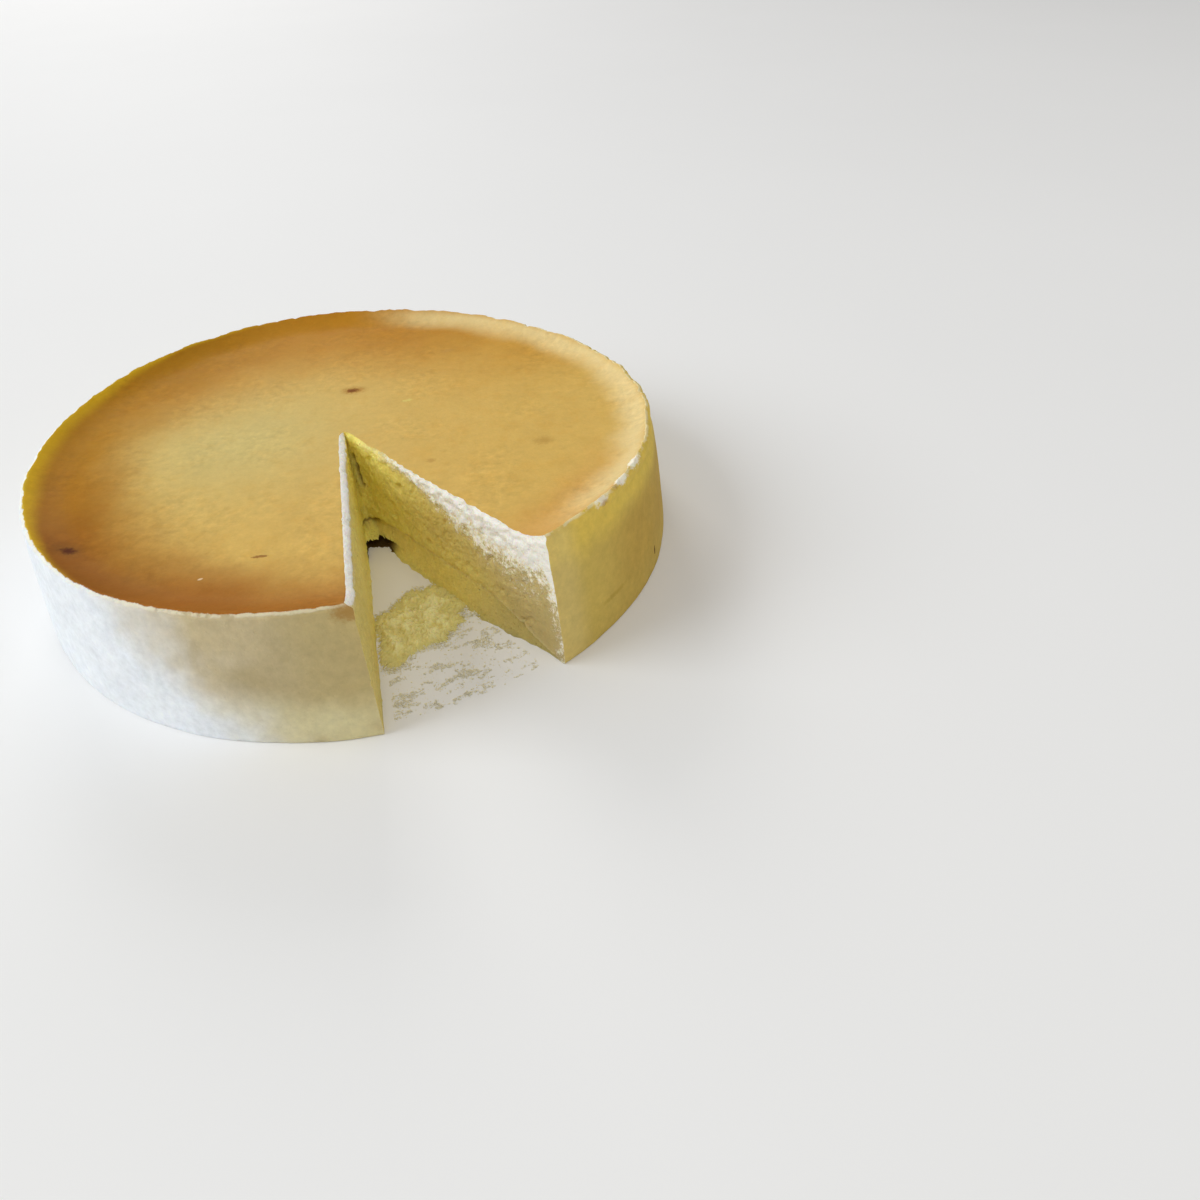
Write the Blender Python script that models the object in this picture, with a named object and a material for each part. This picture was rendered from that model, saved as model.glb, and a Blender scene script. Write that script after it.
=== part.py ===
"""Round baked cheesecake with one slice cut out, and the smear of cake left where the slice lay.

Metres, +Z up. The origin is the centre of the round base, at the height it rests on.
Angles run counter-clockwise from +X, seen from above, so the cut opens towards the front right.
"""

import math

import bmesh
import bpy
from mathutils import Vector, noise

# Outline of the cake
BASE_RADIUS = 0.125
RIM_RADIUS = 0.119
FLAT_HEIGHT = 0.045
SIDE_BULGE = 1.4

# Raised rim round the sunken top
LIP_HEIGHT = 0.005
LIP_WIDTH = 0.016
RIM_ROUNDING = 0.0016
RIM_ROUNDING_DROP = 1.3
RIM_ROUNDING_DEG = (80.0, 45.0, 10.0)
BASE_ROUNDING = 0.0006
CENTRE_SAG = 0.0006

# Slow unevenness of a hand-turned-out cake: the front stands higher, the plan is slightly off round
FRONT_RISE = 0.0018
SADDLE = 0.0017
RIM_FORWARD = 0.0011
RIM_OVAL = 0.0007
RIM_THREE_LOBED = 0.0006

# Torn, finely scalloped edge where the browned skin meets the side
RAGGED_DEPTH = 0.0007
RAGGED_REACH = 0.0035
RAGGED_WAVES = ((23, 0.4), (37, 1.9), (53, 4.1))

# The cut: a twelfth of the cake, taken out from the centre
APEX = Vector((-0.0025, 0.0003))
LEFT_CUT_DEG = -77.8
RIGHT_CUT_DEG = -47.5
CUT_LENGTH = 0.140
APEX_ROUNDING = 0.002
TANGENT_STEP = 0.0002
CRUMB_DEPTH = 0.0005
CRUMB_SIZE = 0.006
LEFT_BEVEL = 0.0023
RIGHT_BEVEL = 0.0009
BEVEL_STARTS_AT = 0.955

# Foot of the right cut face, below a crease: smoothed and pushed out by the server
CREASE_HEIGHT = 0.0104
CREASE_RISES_OVER = 0.025
CREASE_FALLS = (0.082, 0.128)
CREASE_NOTCH = 0.0009
FOOT_REACH = 0.0036
FOOT_CURVE = 1.6
FOOT_STARTS = (0.020, 0.036)
FOOT_ENDS = (0.085, 0.120)

# Tip of the slice that tore off and stayed behind as a low lump, hollow underneath
LUMP_REACH = 0.0140
LUMP_SPAN = 0.034
LUMP_UNDERSIDE = 0.0030
LUMP_TOP = 0.0050

# Smear of cake left in the gap: its outline and its thickness
SMEAR_OUTLINE = (
    (0.0124, -0.0614), (0.0158, -0.0607), (0.0180, -0.0556), (0.0204, -0.0505), (0.0246, -0.0464),
    (0.0279, -0.0489), (0.0318, -0.0448), (0.0383, -0.0512), (0.0444, -0.0582), (0.0430, -0.0628),
    (0.0458, -0.0670), (0.0414, -0.0736), (0.0398, -0.0784), (0.0352, -0.0799), (0.0292, -0.0833),
    (0.0261, -0.0886), (0.0236, -0.0921), (0.0196, -0.0918), (0.0161, -0.0770),
)
SMEAR_CENTRE = Vector((0.0292, -0.0670))
SMEAR_THICKNESS = 0.0020
SMEAR_EDGE_THICKNESS = 0.0009
SMEAR_BUMPS = 0.0007
SMEAR_RINGS = (1.0, 0.93, 0.72, 0.46, 0.22)

# Mesh density
STEPS_AROUND = 128
TOP_RINGS = (0.0, 0.014, 0.032, 0.052, 0.072, 0.090, 0.101, 0.107, 0.1115, 0.1145, 0.1168)
SIDE_RINGS = (0.94, 0.84, 0.68, 0.50, 0.33, 0.17, 0.05)
BASE_RINGS = (0.118, 0.060, 0.0)
NEAR_APEX = (0.0, 0.001, 0.002, 0.005, 0.009, 0.013, 0.017, 0.021, 0.025)
CUT_STEP = 0.006
LOW_ROWS = (-0.003, 0.0010, 0.0026, 0.0034, 0.0046, 0.0062, 0.0080, 0.0096, 0.0108, 0.0140)
HIGH_ROWS = (0.41, 0.53, 0.65, 0.76, 0.87, BEVEL_STARTS_AT, 1.0)
CLEARANCE_ABOVE = 0.006

CAKE_COLOUR = (0.80, 0.66, 0.34, 1.0)
SMEAR_COLOUR = (0.72, 0.62, 0.28, 1.0)


def smooth_step(start: float, end: float, value: float) -> float:
    """Rise smoothly from 0 at start to 1 at end."""
    t = min(max((value - start) / (end - start), 0.0), 1.0)
    return t * t * (3.0 - 2.0 * t)


def rim_radius(angle: float) -> float:
    """Radius of the slightly uneven rim at an angle."""
    uneven = (-RIM_FORWARD * math.sin(angle) - RIM_OVAL * math.sin(2.0 * angle)
              + RIM_THREE_LOBED * math.cos(3.0 * angle))
    return RIM_RADIUS + uneven


def slow_rise(x: float, y: float) -> float:
    """How far the uneven top lies above or below its mean height."""
    return -FRONT_RISE * y / RIM_RADIUS - SADDLE * 2.0 * x * y / RIM_RADIUS ** 2


def lip(distance: float) -> float:
    """Height of the raised rim above the flat top, at a distance in from the rim."""
    return LIP_HEIGHT * max(0.0, 1.0 - max(distance, 0.0) / LIP_WIDTH) ** 2


def top_height(x: float, y: float) -> float:
    """Height of the browned top at a point."""
    radius = math.hypot(x, y)
    inward = rim_radius(math.atan2(y, x)) - radius
    sag = CENTRE_SAG * max(0.0, 1.0 - radius / RIM_RADIUS)
    return FLAT_HEIGHT + slow_rise(x, y) + lip(inward) - sag


def side_radius(fraction: float) -> float:
    """Nominal radius of the side at a fraction of the rim's height."""
    return BASE_RADIUS - (BASE_RADIUS - RIM_RADIUS) * fraction ** SIDE_BULGE


def profile() -> list[Vector]:
    """Half outline of an even cake, from the centre of the top round to the centre of the base."""
    rim_top = FLAT_HEIGHT + LIP_HEIGHT
    top = [Vector((r, 0.0, FLAT_HEIGHT + lip(RIM_RADIUS - r)
                   - CENTRE_SAG * max(0.0, 1.0 - r / RIM_RADIUS))) for r in TOP_RINGS]
    corner = []
    for turn in RIM_ROUNDING_DEG:
        outward = math.cos(math.radians(turn))
        upward = math.sin(math.radians(turn))
        corner.append(Vector((RIM_RADIUS - RIM_ROUNDING * (1.0 - outward), 0.0,
                              rim_top - RIM_ROUNDING * (RIM_ROUNDING_DROP - upward))))
    side = [Vector((side_radius(f), 0.0, f * rim_top)) for f in SIDE_RINGS]
    base = [Vector((r, 0.0, 0.0)) for r in (BASE_RADIUS - BASE_ROUNDING, *BASE_RINGS)]
    return top + corner + side + base


def ragged(angle: float) -> float:
    """Fine scallops of the torn rim, between -1 and 1."""
    return sum(math.sin(count * angle + phase) for count, phase in RAGGED_WAVES) / len(RAGGED_WAVES)


def uneven_place(point: Vector) -> Vector:
    """Move a point of the even turned cake to its place on the real, uneven one."""
    radius = math.hypot(point.x, point.y)
    angle = math.atan2(point.y, point.x)
    rim_top = FLAT_HEIGHT + LIP_HEIGHT
    share = point.z / rim_top
    widened = radius * (1.0 + share * (rim_radius(angle) / RIM_RADIUS - 1.0))
    from_rim = math.hypot(radius - RIM_RADIUS, point.z - rim_top)
    torn = ragged(angle) * RAGGED_DEPTH * max(0.0, 1.0 - from_rim / RAGGED_REACH)
    widened += torn
    x = widened * math.cos(angle)
    y = widened * math.sin(angle)
    return Vector((x, y, point.z + share * slow_rise(x, y) + 0.5 * torn))


def new_object(name: str, mesh_data: bmesh.types.BMesh) -> bpy.types.Object:
    """Turn a bmesh into an object of the scene, its faces pointing out."""
    bmesh.ops.recalc_face_normals(mesh_data, faces=mesh_data.faces)
    mesh = bpy.data.meshes.new(name)
    mesh_data.to_mesh(mesh)
    mesh_data.free()
    item = bpy.data.objects.new(name, mesh)
    bpy.context.collection.objects.link(item)
    return item


def give_material(item: bpy.types.Object, colour: tuple, roughness: float) -> None:
    """Give an object its own plain Principled material."""
    material = bpy.data.materials.new(item.name)
    material.use_nodes = True
    shader = material.node_tree.nodes["Principled BSDF"]
    shader.inputs["Base Color"].default_value = colour
    shader.inputs["Roughness"].default_value = roughness
    shader.inputs["Metallic"].default_value = 0.0
    material.diffuse_color = colour
    item.data.materials.append(material)


def turned_cake() -> bpy.types.Object:
    """Turn the profile round the axis and give the result its uneven form."""
    cake = bmesh.new()
    vertices = [cake.verts.new(point) for point in profile()]
    edges = [cake.edges.new(pair) for pair in zip(vertices, vertices[1:])]
    bmesh.ops.spin(cake, geom=vertices + edges, cent=(0, 0, 0), axis=(0, 0, 1),
                   angle=2.0 * math.pi, steps=STEPS_AROUND, use_duplicate=False)
    bmesh.ops.remove_doubles(cake, verts=cake.verts, dist=1e-5)
    for vertex in cake.verts:
        vertex.co = uneven_place(vertex.co)
    item = new_object("cake", cake)
    give_material(item, CAKE_COLOUR, 0.5)
    return item


def unit(degrees: float) -> Vector:
    """Unit vector in plan at an angle."""
    return Vector((math.cos(math.radians(degrees)), math.sin(math.radians(degrees))))


def cut_path(along: float) -> Vector:
    """Plan of the cut: negative along the left face, 0 at the tip, positive along the right face."""
    left = APEX + unit(LEFT_CUT_DEG) * APEX_ROUNDING
    right = APEX + unit(RIGHT_CUT_DEG) * APEX_ROUNDING
    if along <= -APEX_ROUNDING:
        return APEX + unit(LEFT_CUT_DEG) * -along
    if along >= APEX_ROUNDING:
        return APEX + unit(RIGHT_CUT_DEG) * along
    t = 0.5 * (along / APEX_ROUNDING + 1.0)
    return left * (1.0 - t) ** 2 + APEX * (2.0 * t * (1.0 - t)) + right * t ** 2


def into_cake(along: float) -> Vector:
    """Unit vector in plan from the cut's face into the cake."""
    tangent = (cut_path(along + TANGENT_STEP) - cut_path(along - TANGENT_STEP)).normalized()
    return Vector((-tangent.y, tangent.x))


def crease_height(along: float) -> float:
    """Height of the crease on the right face: it climbs from the tip and runs out at the rim."""
    climb = math.sqrt(min(max(along, 0.0) / CREASE_RISES_OVER, 1.0))
    return CREASE_HEIGHT * climb * (1.0 - smooth_step(*CREASE_FALLS, along))


def foot_depth(along: float, height: float) -> float:
    """Form of the right face below its crease: a notch, then a foot that reaches out."""
    crease = crease_height(along)
    if max(height, 0.0) >= crease:
        return 0.0
    reach = FOOT_REACH * smooth_step(*FOOT_STARTS, along) * (1.0 - smooth_step(*FOOT_ENDS, along))
    below = 1.0 - max(height, 0.0) / crease
    return CREASE_NOTCH * (1.0 - below) - reach * below ** FOOT_CURVE


def lump_shift(along: float, height: float) -> float:
    """How far the lump at the tip stands out into the gap."""
    if height < LUMP_UNDERSIDE:
        return 0.0
    top = max(LUMP_TOP, crease_height(along))
    share = 1.0 - smooth_step(LUMP_UNDERSIDE, top, height)
    return LUMP_REACH * share * (1.0 - smooth_step(0.0, LUMP_SPAN, abs(along)))


def cut_depth(along: float, height: float, fraction: float) -> float:
    """How far the cut's face lies behind its flat plan, at a height and fraction of the height."""
    crumb = noise.noise(Vector((along, height, 0.0)) / CRUMB_SIZE) * CRUMB_DEPTH
    bevel = (LEFT_BEVEL if along < 0.0 else RIGHT_BEVEL) * smooth_step(BEVEL_STARTS_AT, 1.0, fraction)
    return crumb + bevel + foot_depth(along, height)


def cut_column(along: float) -> list[Vector]:
    """Points of the cut's face above each other, from below the base to above the top."""
    plan = cut_path(along)
    top = top_height(plan.x, plan.y)
    out_of_tip = unit(0.5 * (LEFT_CUT_DEG + RIGHT_CUT_DEG))
    heights = list(LOW_ROWS) + [f * top for f in HIGH_ROWS] + [top + CLEARANCE_ABOVE]
    points = []
    for height in heights:
        place = plan + into_cake(along) * cut_depth(along, height, height / top)
        place += out_of_tip * lump_shift(along, height)
        points.append(Vector((place.x, place.y, height)))
    return points


def cut_stations() -> list[float]:
    """Distances along the cut, left face first: close together at the tip, even further out."""
    outer = [NEAR_APEX[-1] + CUT_STEP * (i + 1)
             for i in range(round((CUT_LENGTH - NEAR_APEX[-1]) / CUT_STEP))]
    right = list(NEAR_APEX) + outer
    return [-along for along in reversed(right[1:])] + right


def slice_cutter() -> bpy.types.Object:
    """Closed wedge with the relief of both cut faces, which takes the slice out of the cake."""
    cutter = bmesh.new()
    columns = [[cutter.verts.new(p) for p in cut_column(along)] for along in cut_stations()]
    for near, far in zip(columns, columns[1:]):
        for row in range(len(near) - 1):
            cutter.faces.new((near[row], far[row], far[row + 1], near[row + 1]))
    cutter.faces.new([column[0] for column in columns])
    cutter.faces.new([column[-1] for column in reversed(columns)])
    cutter.faces.new(columns[0] + columns[-1][::-1])
    caps = [face for face in cutter.faces if len(face.verts) > 4]
    bmesh.ops.triangulate(cutter, faces=caps)
    item = new_object("slice_cutter", cutter)
    item.hide_render = True
    item.display_type = "WIRE"
    return item


def cut_cake() -> None:
    """Take the slice out of the turned cake."""
    cake = turned_cake()
    cut = cake.modifiers.new("slice", "BOOLEAN")
    cut.operation = "DIFFERENCE"
    cut.solver = "EXACT"
    cut.object = slice_cutter()


def smear_ring(layer: bmesh.types.BMesh, share: float, height: float) -> list:
    """One ring of the smear, its outline drawn in to a share of its size; its top is bumpy."""
    ring = []
    for x, y in SMEAR_OUTLINE:
        place = SMEAR_CENTRE + (Vector((x, y)) - SMEAR_CENTRE) * share
        bump = noise.noise(Vector((place.x, place.y, 0.0)) / CRUMB_SIZE) * SMEAR_BUMPS
        lift = bump if height > SMEAR_EDGE_THICKNESS else 0.0
        ring.append(layer.verts.new((place.x, place.y, height + lift)))
    return ring


def smear() -> None:
    """Thin, bumpy layer of cake left lying in the gap."""
    layer = bmesh.new()
    base = smear_ring(layer, SMEAR_RINGS[0], 0.0)
    rings = [base, smear_ring(layer, SMEAR_RINGS[0], SMEAR_EDGE_THICKNESS)]
    rings += [smear_ring(layer, share, SMEAR_THICKNESS) for share in SMEAR_RINGS[1:]]
    for outer, inner in zip(rings, rings[1:]):
        for i in range(len(outer)):
            j = (i + 1) % len(outer)
            layer.faces.new((outer[i], outer[j], inner[j], inner[i]))
    layer.faces.new(rings[-1])
    layer.faces.new(base[::-1])
    bmesh.ops.triangulate(layer, faces=layer.faces)
    item = new_object("base_smear", layer)
    give_material(item, SMEAR_COLOUR, 0.6)


def main() -> None:
    """Build the cheesecake in an empty scene."""
    for item in list(bpy.data.objects):
        bpy.data.objects.remove(item)
    cut_cake()
    smear()


main()
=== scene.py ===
"""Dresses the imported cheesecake: a browned, dished top, pale sides, a torn rim and a crumbly cut.

Everything is in metres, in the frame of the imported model: the origin is the centre of the round
base and +Z is up. Angles run counter-clockwise from +X, seen from above.
"""

from __future__ import annotations

import itertools
import logging
import math
from dataclasses import dataclass
from enum import Enum
from typing import Sequence

import bpy
import numpy as np
from mathutils import Matrix, Vector

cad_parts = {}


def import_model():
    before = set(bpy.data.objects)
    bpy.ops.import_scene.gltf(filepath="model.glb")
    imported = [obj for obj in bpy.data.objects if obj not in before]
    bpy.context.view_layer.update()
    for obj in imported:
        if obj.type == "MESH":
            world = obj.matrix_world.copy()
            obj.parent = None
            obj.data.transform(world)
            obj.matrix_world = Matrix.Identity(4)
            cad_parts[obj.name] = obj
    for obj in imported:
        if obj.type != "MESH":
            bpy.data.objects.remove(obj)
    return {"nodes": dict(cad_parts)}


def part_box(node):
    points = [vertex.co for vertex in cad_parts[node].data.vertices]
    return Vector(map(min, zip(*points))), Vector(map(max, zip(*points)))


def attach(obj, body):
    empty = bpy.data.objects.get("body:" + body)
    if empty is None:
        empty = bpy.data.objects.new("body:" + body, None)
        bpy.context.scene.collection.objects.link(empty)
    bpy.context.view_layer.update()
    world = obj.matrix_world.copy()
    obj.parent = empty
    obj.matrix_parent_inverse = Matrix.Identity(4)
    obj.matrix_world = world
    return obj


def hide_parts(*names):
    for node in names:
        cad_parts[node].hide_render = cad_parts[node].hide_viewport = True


LOG = logging.getLogger("cheesecake")

MM = 0.001
SHARP_DEG = 52.0
RIM_OVER_FLAT = 7.5 * MM

Colour = tuple[float, float, float]


class Face(Enum):
    """The two finishes of the cake's surface, in the order of its material slots."""

    SKIN = 0
    CUT = 1


def smooth_step(start: float, end: float, value: np.ndarray) -> np.ndarray:
    """Rise smoothly from 0 at start to 1 at end.

    Args:
        start: Value where the step begins.
        end: Value where the step is complete.
        value: Array of values.

    Returns:
        3t^2 - 2t^3 of the clamped share t of the way from start to end.
    """
    t = np.clip((value - start) / (end - start), 0.0, 1.0)
    return t * t * (3.0 - 2.0 * t)


def fall(start: float, end: float, value: np.ndarray) -> np.ndarray:
    """Fall smoothly from 1 at start to 0 at end."""
    return 1.0 - smooth_step(start, end, value)


def angle_gap(angle: np.ndarray, centre_deg: float) -> np.ndarray:
    """Distance in degrees between angles and a direction, the short way round.

    Args:
        angle: Angles in radians.
        centre_deg: Direction in degrees.

    Returns:
        Degrees between 0 and 180.
    """
    turned = np.degrees(angle) - centre_deg
    return np.abs((turned + 180.0) % 360.0 - 180.0)


def sector(angle: np.ndarray, centre_deg: float, half_width: float, soft: float) -> np.ndarray:
    """Mask of a sector of the cake: 1 inside, fading out over a soft edge.

    Args:
        angle: Angles in radians.
        centre_deg: Middle of the sector in degrees.
        half_width: Half its width in degrees.
        soft: Width of its soft edge in degrees.

    Returns:
        Mask between 0 and 1.
    """
    return fall(half_width, half_width + soft, angle_gap(angle, centre_deg))


def blend(first: np.ndarray, second: Colour, share: np.ndarray) -> np.ndarray:
    """Mix colours point by point.

    Args:
        first: Colours, one row each.
        second: The colour to mix in.
        share: How much of it, one value per row.

    Returns:
        first + (second - first) * share.
    """
    return first + (np.array(second) - first) * share[..., None]


def paint(colour: Colour, count: int) -> np.ndarray:
    """The same colour on a number of points, one row each."""
    return np.tile(np.array(colour), (count, 1))


def hill(value: np.ndarray, middle: float | np.ndarray, width: float) -> np.ndarray:
    """Bell curve, 1 at its middle: exp(-((value - middle) / width)^2)."""
    return np.exp(-((value - middle) / width) ** 2)


def sheet(first: np.ndarray, second: np.ndarray) -> np.ndarray:
    """Positions (first, second, 0) at which noise is read, shape (..., 3)."""
    return np.stack([first, second, 0.0 * first], axis=-1)


class LatticeNoise:
    """Smooth, seeded noise on a lattice, worked out for whole arrays of points."""

    CORNERS = tuple(np.array(c) for c in itertools.product((0, 1), repeat=3))
    NEIGHBOURS = tuple(np.array(c) for c in itertools.product((-1, 0, 1), repeat=3))

    def __init__(self, seed: int) -> None:
        """Draw the lattice's slopes and seeds.

        Args:
            seed: Number that fixes every later value.
        """
        generator = np.random.default_rng(seed)
        self.order = generator.permutation(256)
        slopes = generator.normal(size=(256, 3))
        self.slopes = slopes / np.linalg.norm(slopes, axis=1, keepdims=True)
        self.jitter = generator.uniform(0.0, 1.0, size=(256, 3))

    def _entry(self, cell: np.ndarray) -> np.ndarray:
        """Table entry of each lattice cell, three lookups one inside the other."""
        first = self.order[cell[..., 0] & 255]
        second = self.order[(first + cell[..., 1]) & 255]
        return self.order[(second + cell[..., 2]) & 255]

    def at(self, points: np.ndarray) -> np.ndarray:
        """Gradient noise, about -1 to 1.

        Args:
            points: Positions in lattice units, shape (..., 3).

        Returns:
            Sum over the eight corners of slope times distance, faded by 6t^5 - 15t^4 + 10t^3.
        """
        cell = np.floor(points).astype(int)
        local = points - cell
        fade = local ** 3 * (local * (local * 6.0 - 15.0) + 10.0)
        total = np.zeros(points.shape[:-1])
        for corner in self.CORNERS:
            slope = self.slopes[self._entry(cell + corner)]
            weight = np.where(corner == 1, fade, 1.0 - fade).prod(axis=-1)
            total += weight * ((local - corner) * slope).sum(axis=-1)
        return 1.6 * total

    def layers(self, points: np.ndarray, count: int = 3, gain: float = 0.5) -> np.ndarray:
        """Noise summed over octaves, each twice as fine and gain times as strong."""
        return sum(self.at(points * 2.0 ** i + 17.0 * i) * gain ** i for i in range(count))

    def cells(self, points: np.ndarray) -> np.ndarray:
        """Distance to the nearest of a set of jittered lattice points, 0 at a point.

        Args:
            points: Positions in lattice units, shape (..., 3).

        Returns:
            Smallest distance over the 27 nearby cells.
        """
        cell = np.floor(points).astype(int)
        nearest = np.full(points.shape[:-1], 9.0)
        for offset in self.NEIGHBOURS:
            seed_point = cell + offset + self.jitter[self._entry(cell + offset)]
            nearest = np.minimum(nearest, np.linalg.norm(points - seed_point, axis=-1))
        return nearest


@dataclass(frozen=True)
class CakeForm:
    """Outer form of the whole cake, before the slice is cut out."""

    base_radius: float
    flat_height: float
    side_taper: float = 6.0 * MM
    side_bulge: float = 1.4
    lip_height: float = 5.0 * MM
    lip_width: float = 16.0 * MM
    rim_rounding: float = 1.5 * MM
    base_rounding: float = 0.6 * MM
    centre_sag: float = 0.6 * MM
    front_rise: float = 1.8 * MM
    saddle: float = 1.7 * MM
    rim_forward: float = 1.1 * MM
    rim_oval: float = 0.7 * MM
    rim_three_lobed: float = 0.6 * MM
    ragged_depth: float = 0.32 * MM
    ragged_reach: float = 4.0 * MM
    scallop_depth: float = 0.8 * MM
    scallop_size: float = 15.0 * MM
    bite_depth: float = 1.2 * MM
    bite_size: float = 7.5 * MM
    undercut: float = 0.7 * MM
    ripple_size: float = 22.0 * MM
    ripple_height: float = 0.22 * MM
    noise: LatticeNoise = LatticeNoise(11)

    @property
    def rim_radius(self) -> float:
        """Mean radius of the rim."""
        return self.base_radius - self.side_taper

    def plan_radius(self, angle: np.ndarray) -> np.ndarray:
        """Radius of the uneven rim: a circle plus slow waves in the angle."""
        return (self.rim_radius - self.rim_forward * np.sin(angle)
                - self.rim_oval * np.sin(2.0 * angle) + self.rim_three_lobed * np.cos(3.0 * angle))

    def inward(self, x: np.ndarray, y: np.ndarray) -> np.ndarray:
        """Distance in from the rim, in plan."""
        return self.plan_radius(np.arctan2(y, x)) - np.hypot(x, y)

    def top_height(self, x: np.ndarray, y: np.ndarray) -> np.ndarray:
        """Height of the browned top.

        Args:
            x: Positions across.
            y: Positions along.

        Returns:
            Flat height, plus a slow saddle, plus a raised lip (1 - d / width)^2 near the rim.
        """
        slow = (-self.front_rise * y / self.rim_radius
                - self.saddle * 2.0 * x * y / self.rim_radius ** 2)
        share = np.clip(1.0 - np.maximum(self.inward(x, y), 0.0) / self.lip_width, 0.0, 1.0)
        sag = self.centre_sag * np.clip(1.0 - np.hypot(x, y) / self.rim_radius, 0.0, 1.0)
        ripple = self.noise.layers(sheet(x, y) / self.ripple_size, 2) * self.ripple_height
        return self.flat_height + slow + self.lip_height * share ** 2 - sag + ripple

    def side_radius(self, angle: np.ndarray, share: np.ndarray) -> np.ndarray:
        """Radius of the side at an angle and a share of the rim's height.

        Args:
            angle: Angles in radians.
            share: 0 at the base, 1 at the crest of the rim.

        Returns:
            Tapering radius, drawn in by quarter rounds at crest and base, torn near the crest.
        """
        nominal = self.base_radius - self.side_taper * share ** self.side_bulge
        radius = nominal * (1.0 + share * (self.plan_radius(angle) / self.rim_radius - 1.0))
        height = share * (self.flat_height + self.lip_height)
        crest = self.flat_height + self.lip_height
        up = np.clip((height - crest + self.rim_rounding) / self.rim_rounding, 0.0, 1.0)
        down = np.clip(1.0 - height / self.base_rounding, 0.0, 1.0)
        radius = radius - self.rim_rounding * (1.0 - np.sqrt(1.0 - up ** 2))
        radius = radius - self.base_rounding * (1.0 - np.sqrt(1.0 - down ** 2))
        near_rim = np.clip(1.0 - (crest - height) / self.ragged_reach, 0.0, 1.0)
        fold = hill(crest - height, 5.0 * MM, 1.5 * MM)
        radius = radius - self.undercut * fold * sector(angle, -5.0, 28.0, 14.0)
        return radius + near_rim * self.torn(angle) + self.unevenness(angle, height)

    def torn(self, angle: np.ndarray) -> np.ndarray:
        """Ragged edge of the rim.

        Args:
            angle: Angles in radians.

        Returns:
            Fine noise plus scallops minus sparse bites, which are full on the right and back.
        """
        ring = sheet(np.cos(angle), np.sin(angle)) * self.rim_radius
        fine = self.noise.layers(ring / (5.0 * MM), 3, 0.6) * self.ragged_depth
        scallops = self.noise.layers(ring / self.scallop_size + 3.0, 3, 0.6)
        bites = smooth_step(0.25, 0.60, self.noise.layers(ring / self.bite_size + 8.0, 2))
        reach = 0.25 + 0.75 * sector(angle, 35.0, 60.0, 40.0)
        return fine + (scallops * self.scallop_depth - bites * self.bite_depth) * reach

    def unevenness(self, angle: np.ndarray, height: np.ndarray) -> np.ndarray:
        """Faint dents and creases of the side, left by the tin.

        Args:
            angle: Angles in radians.
            height: Heights above the base.

        Returns:
            Broad noise plus fine noise, in metres.
        """
        place = np.stack([np.cos(angle) * self.base_radius, np.sin(angle) * self.base_radius,
                          height], axis=-1)
        broad = self.noise.layers(place / (26.0 * MM), 2) * 0.30 * MM
        fine = self.noise.layers(place / (4.0 * MM), 2) * 0.07 * MM
        return broad + fine


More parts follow.
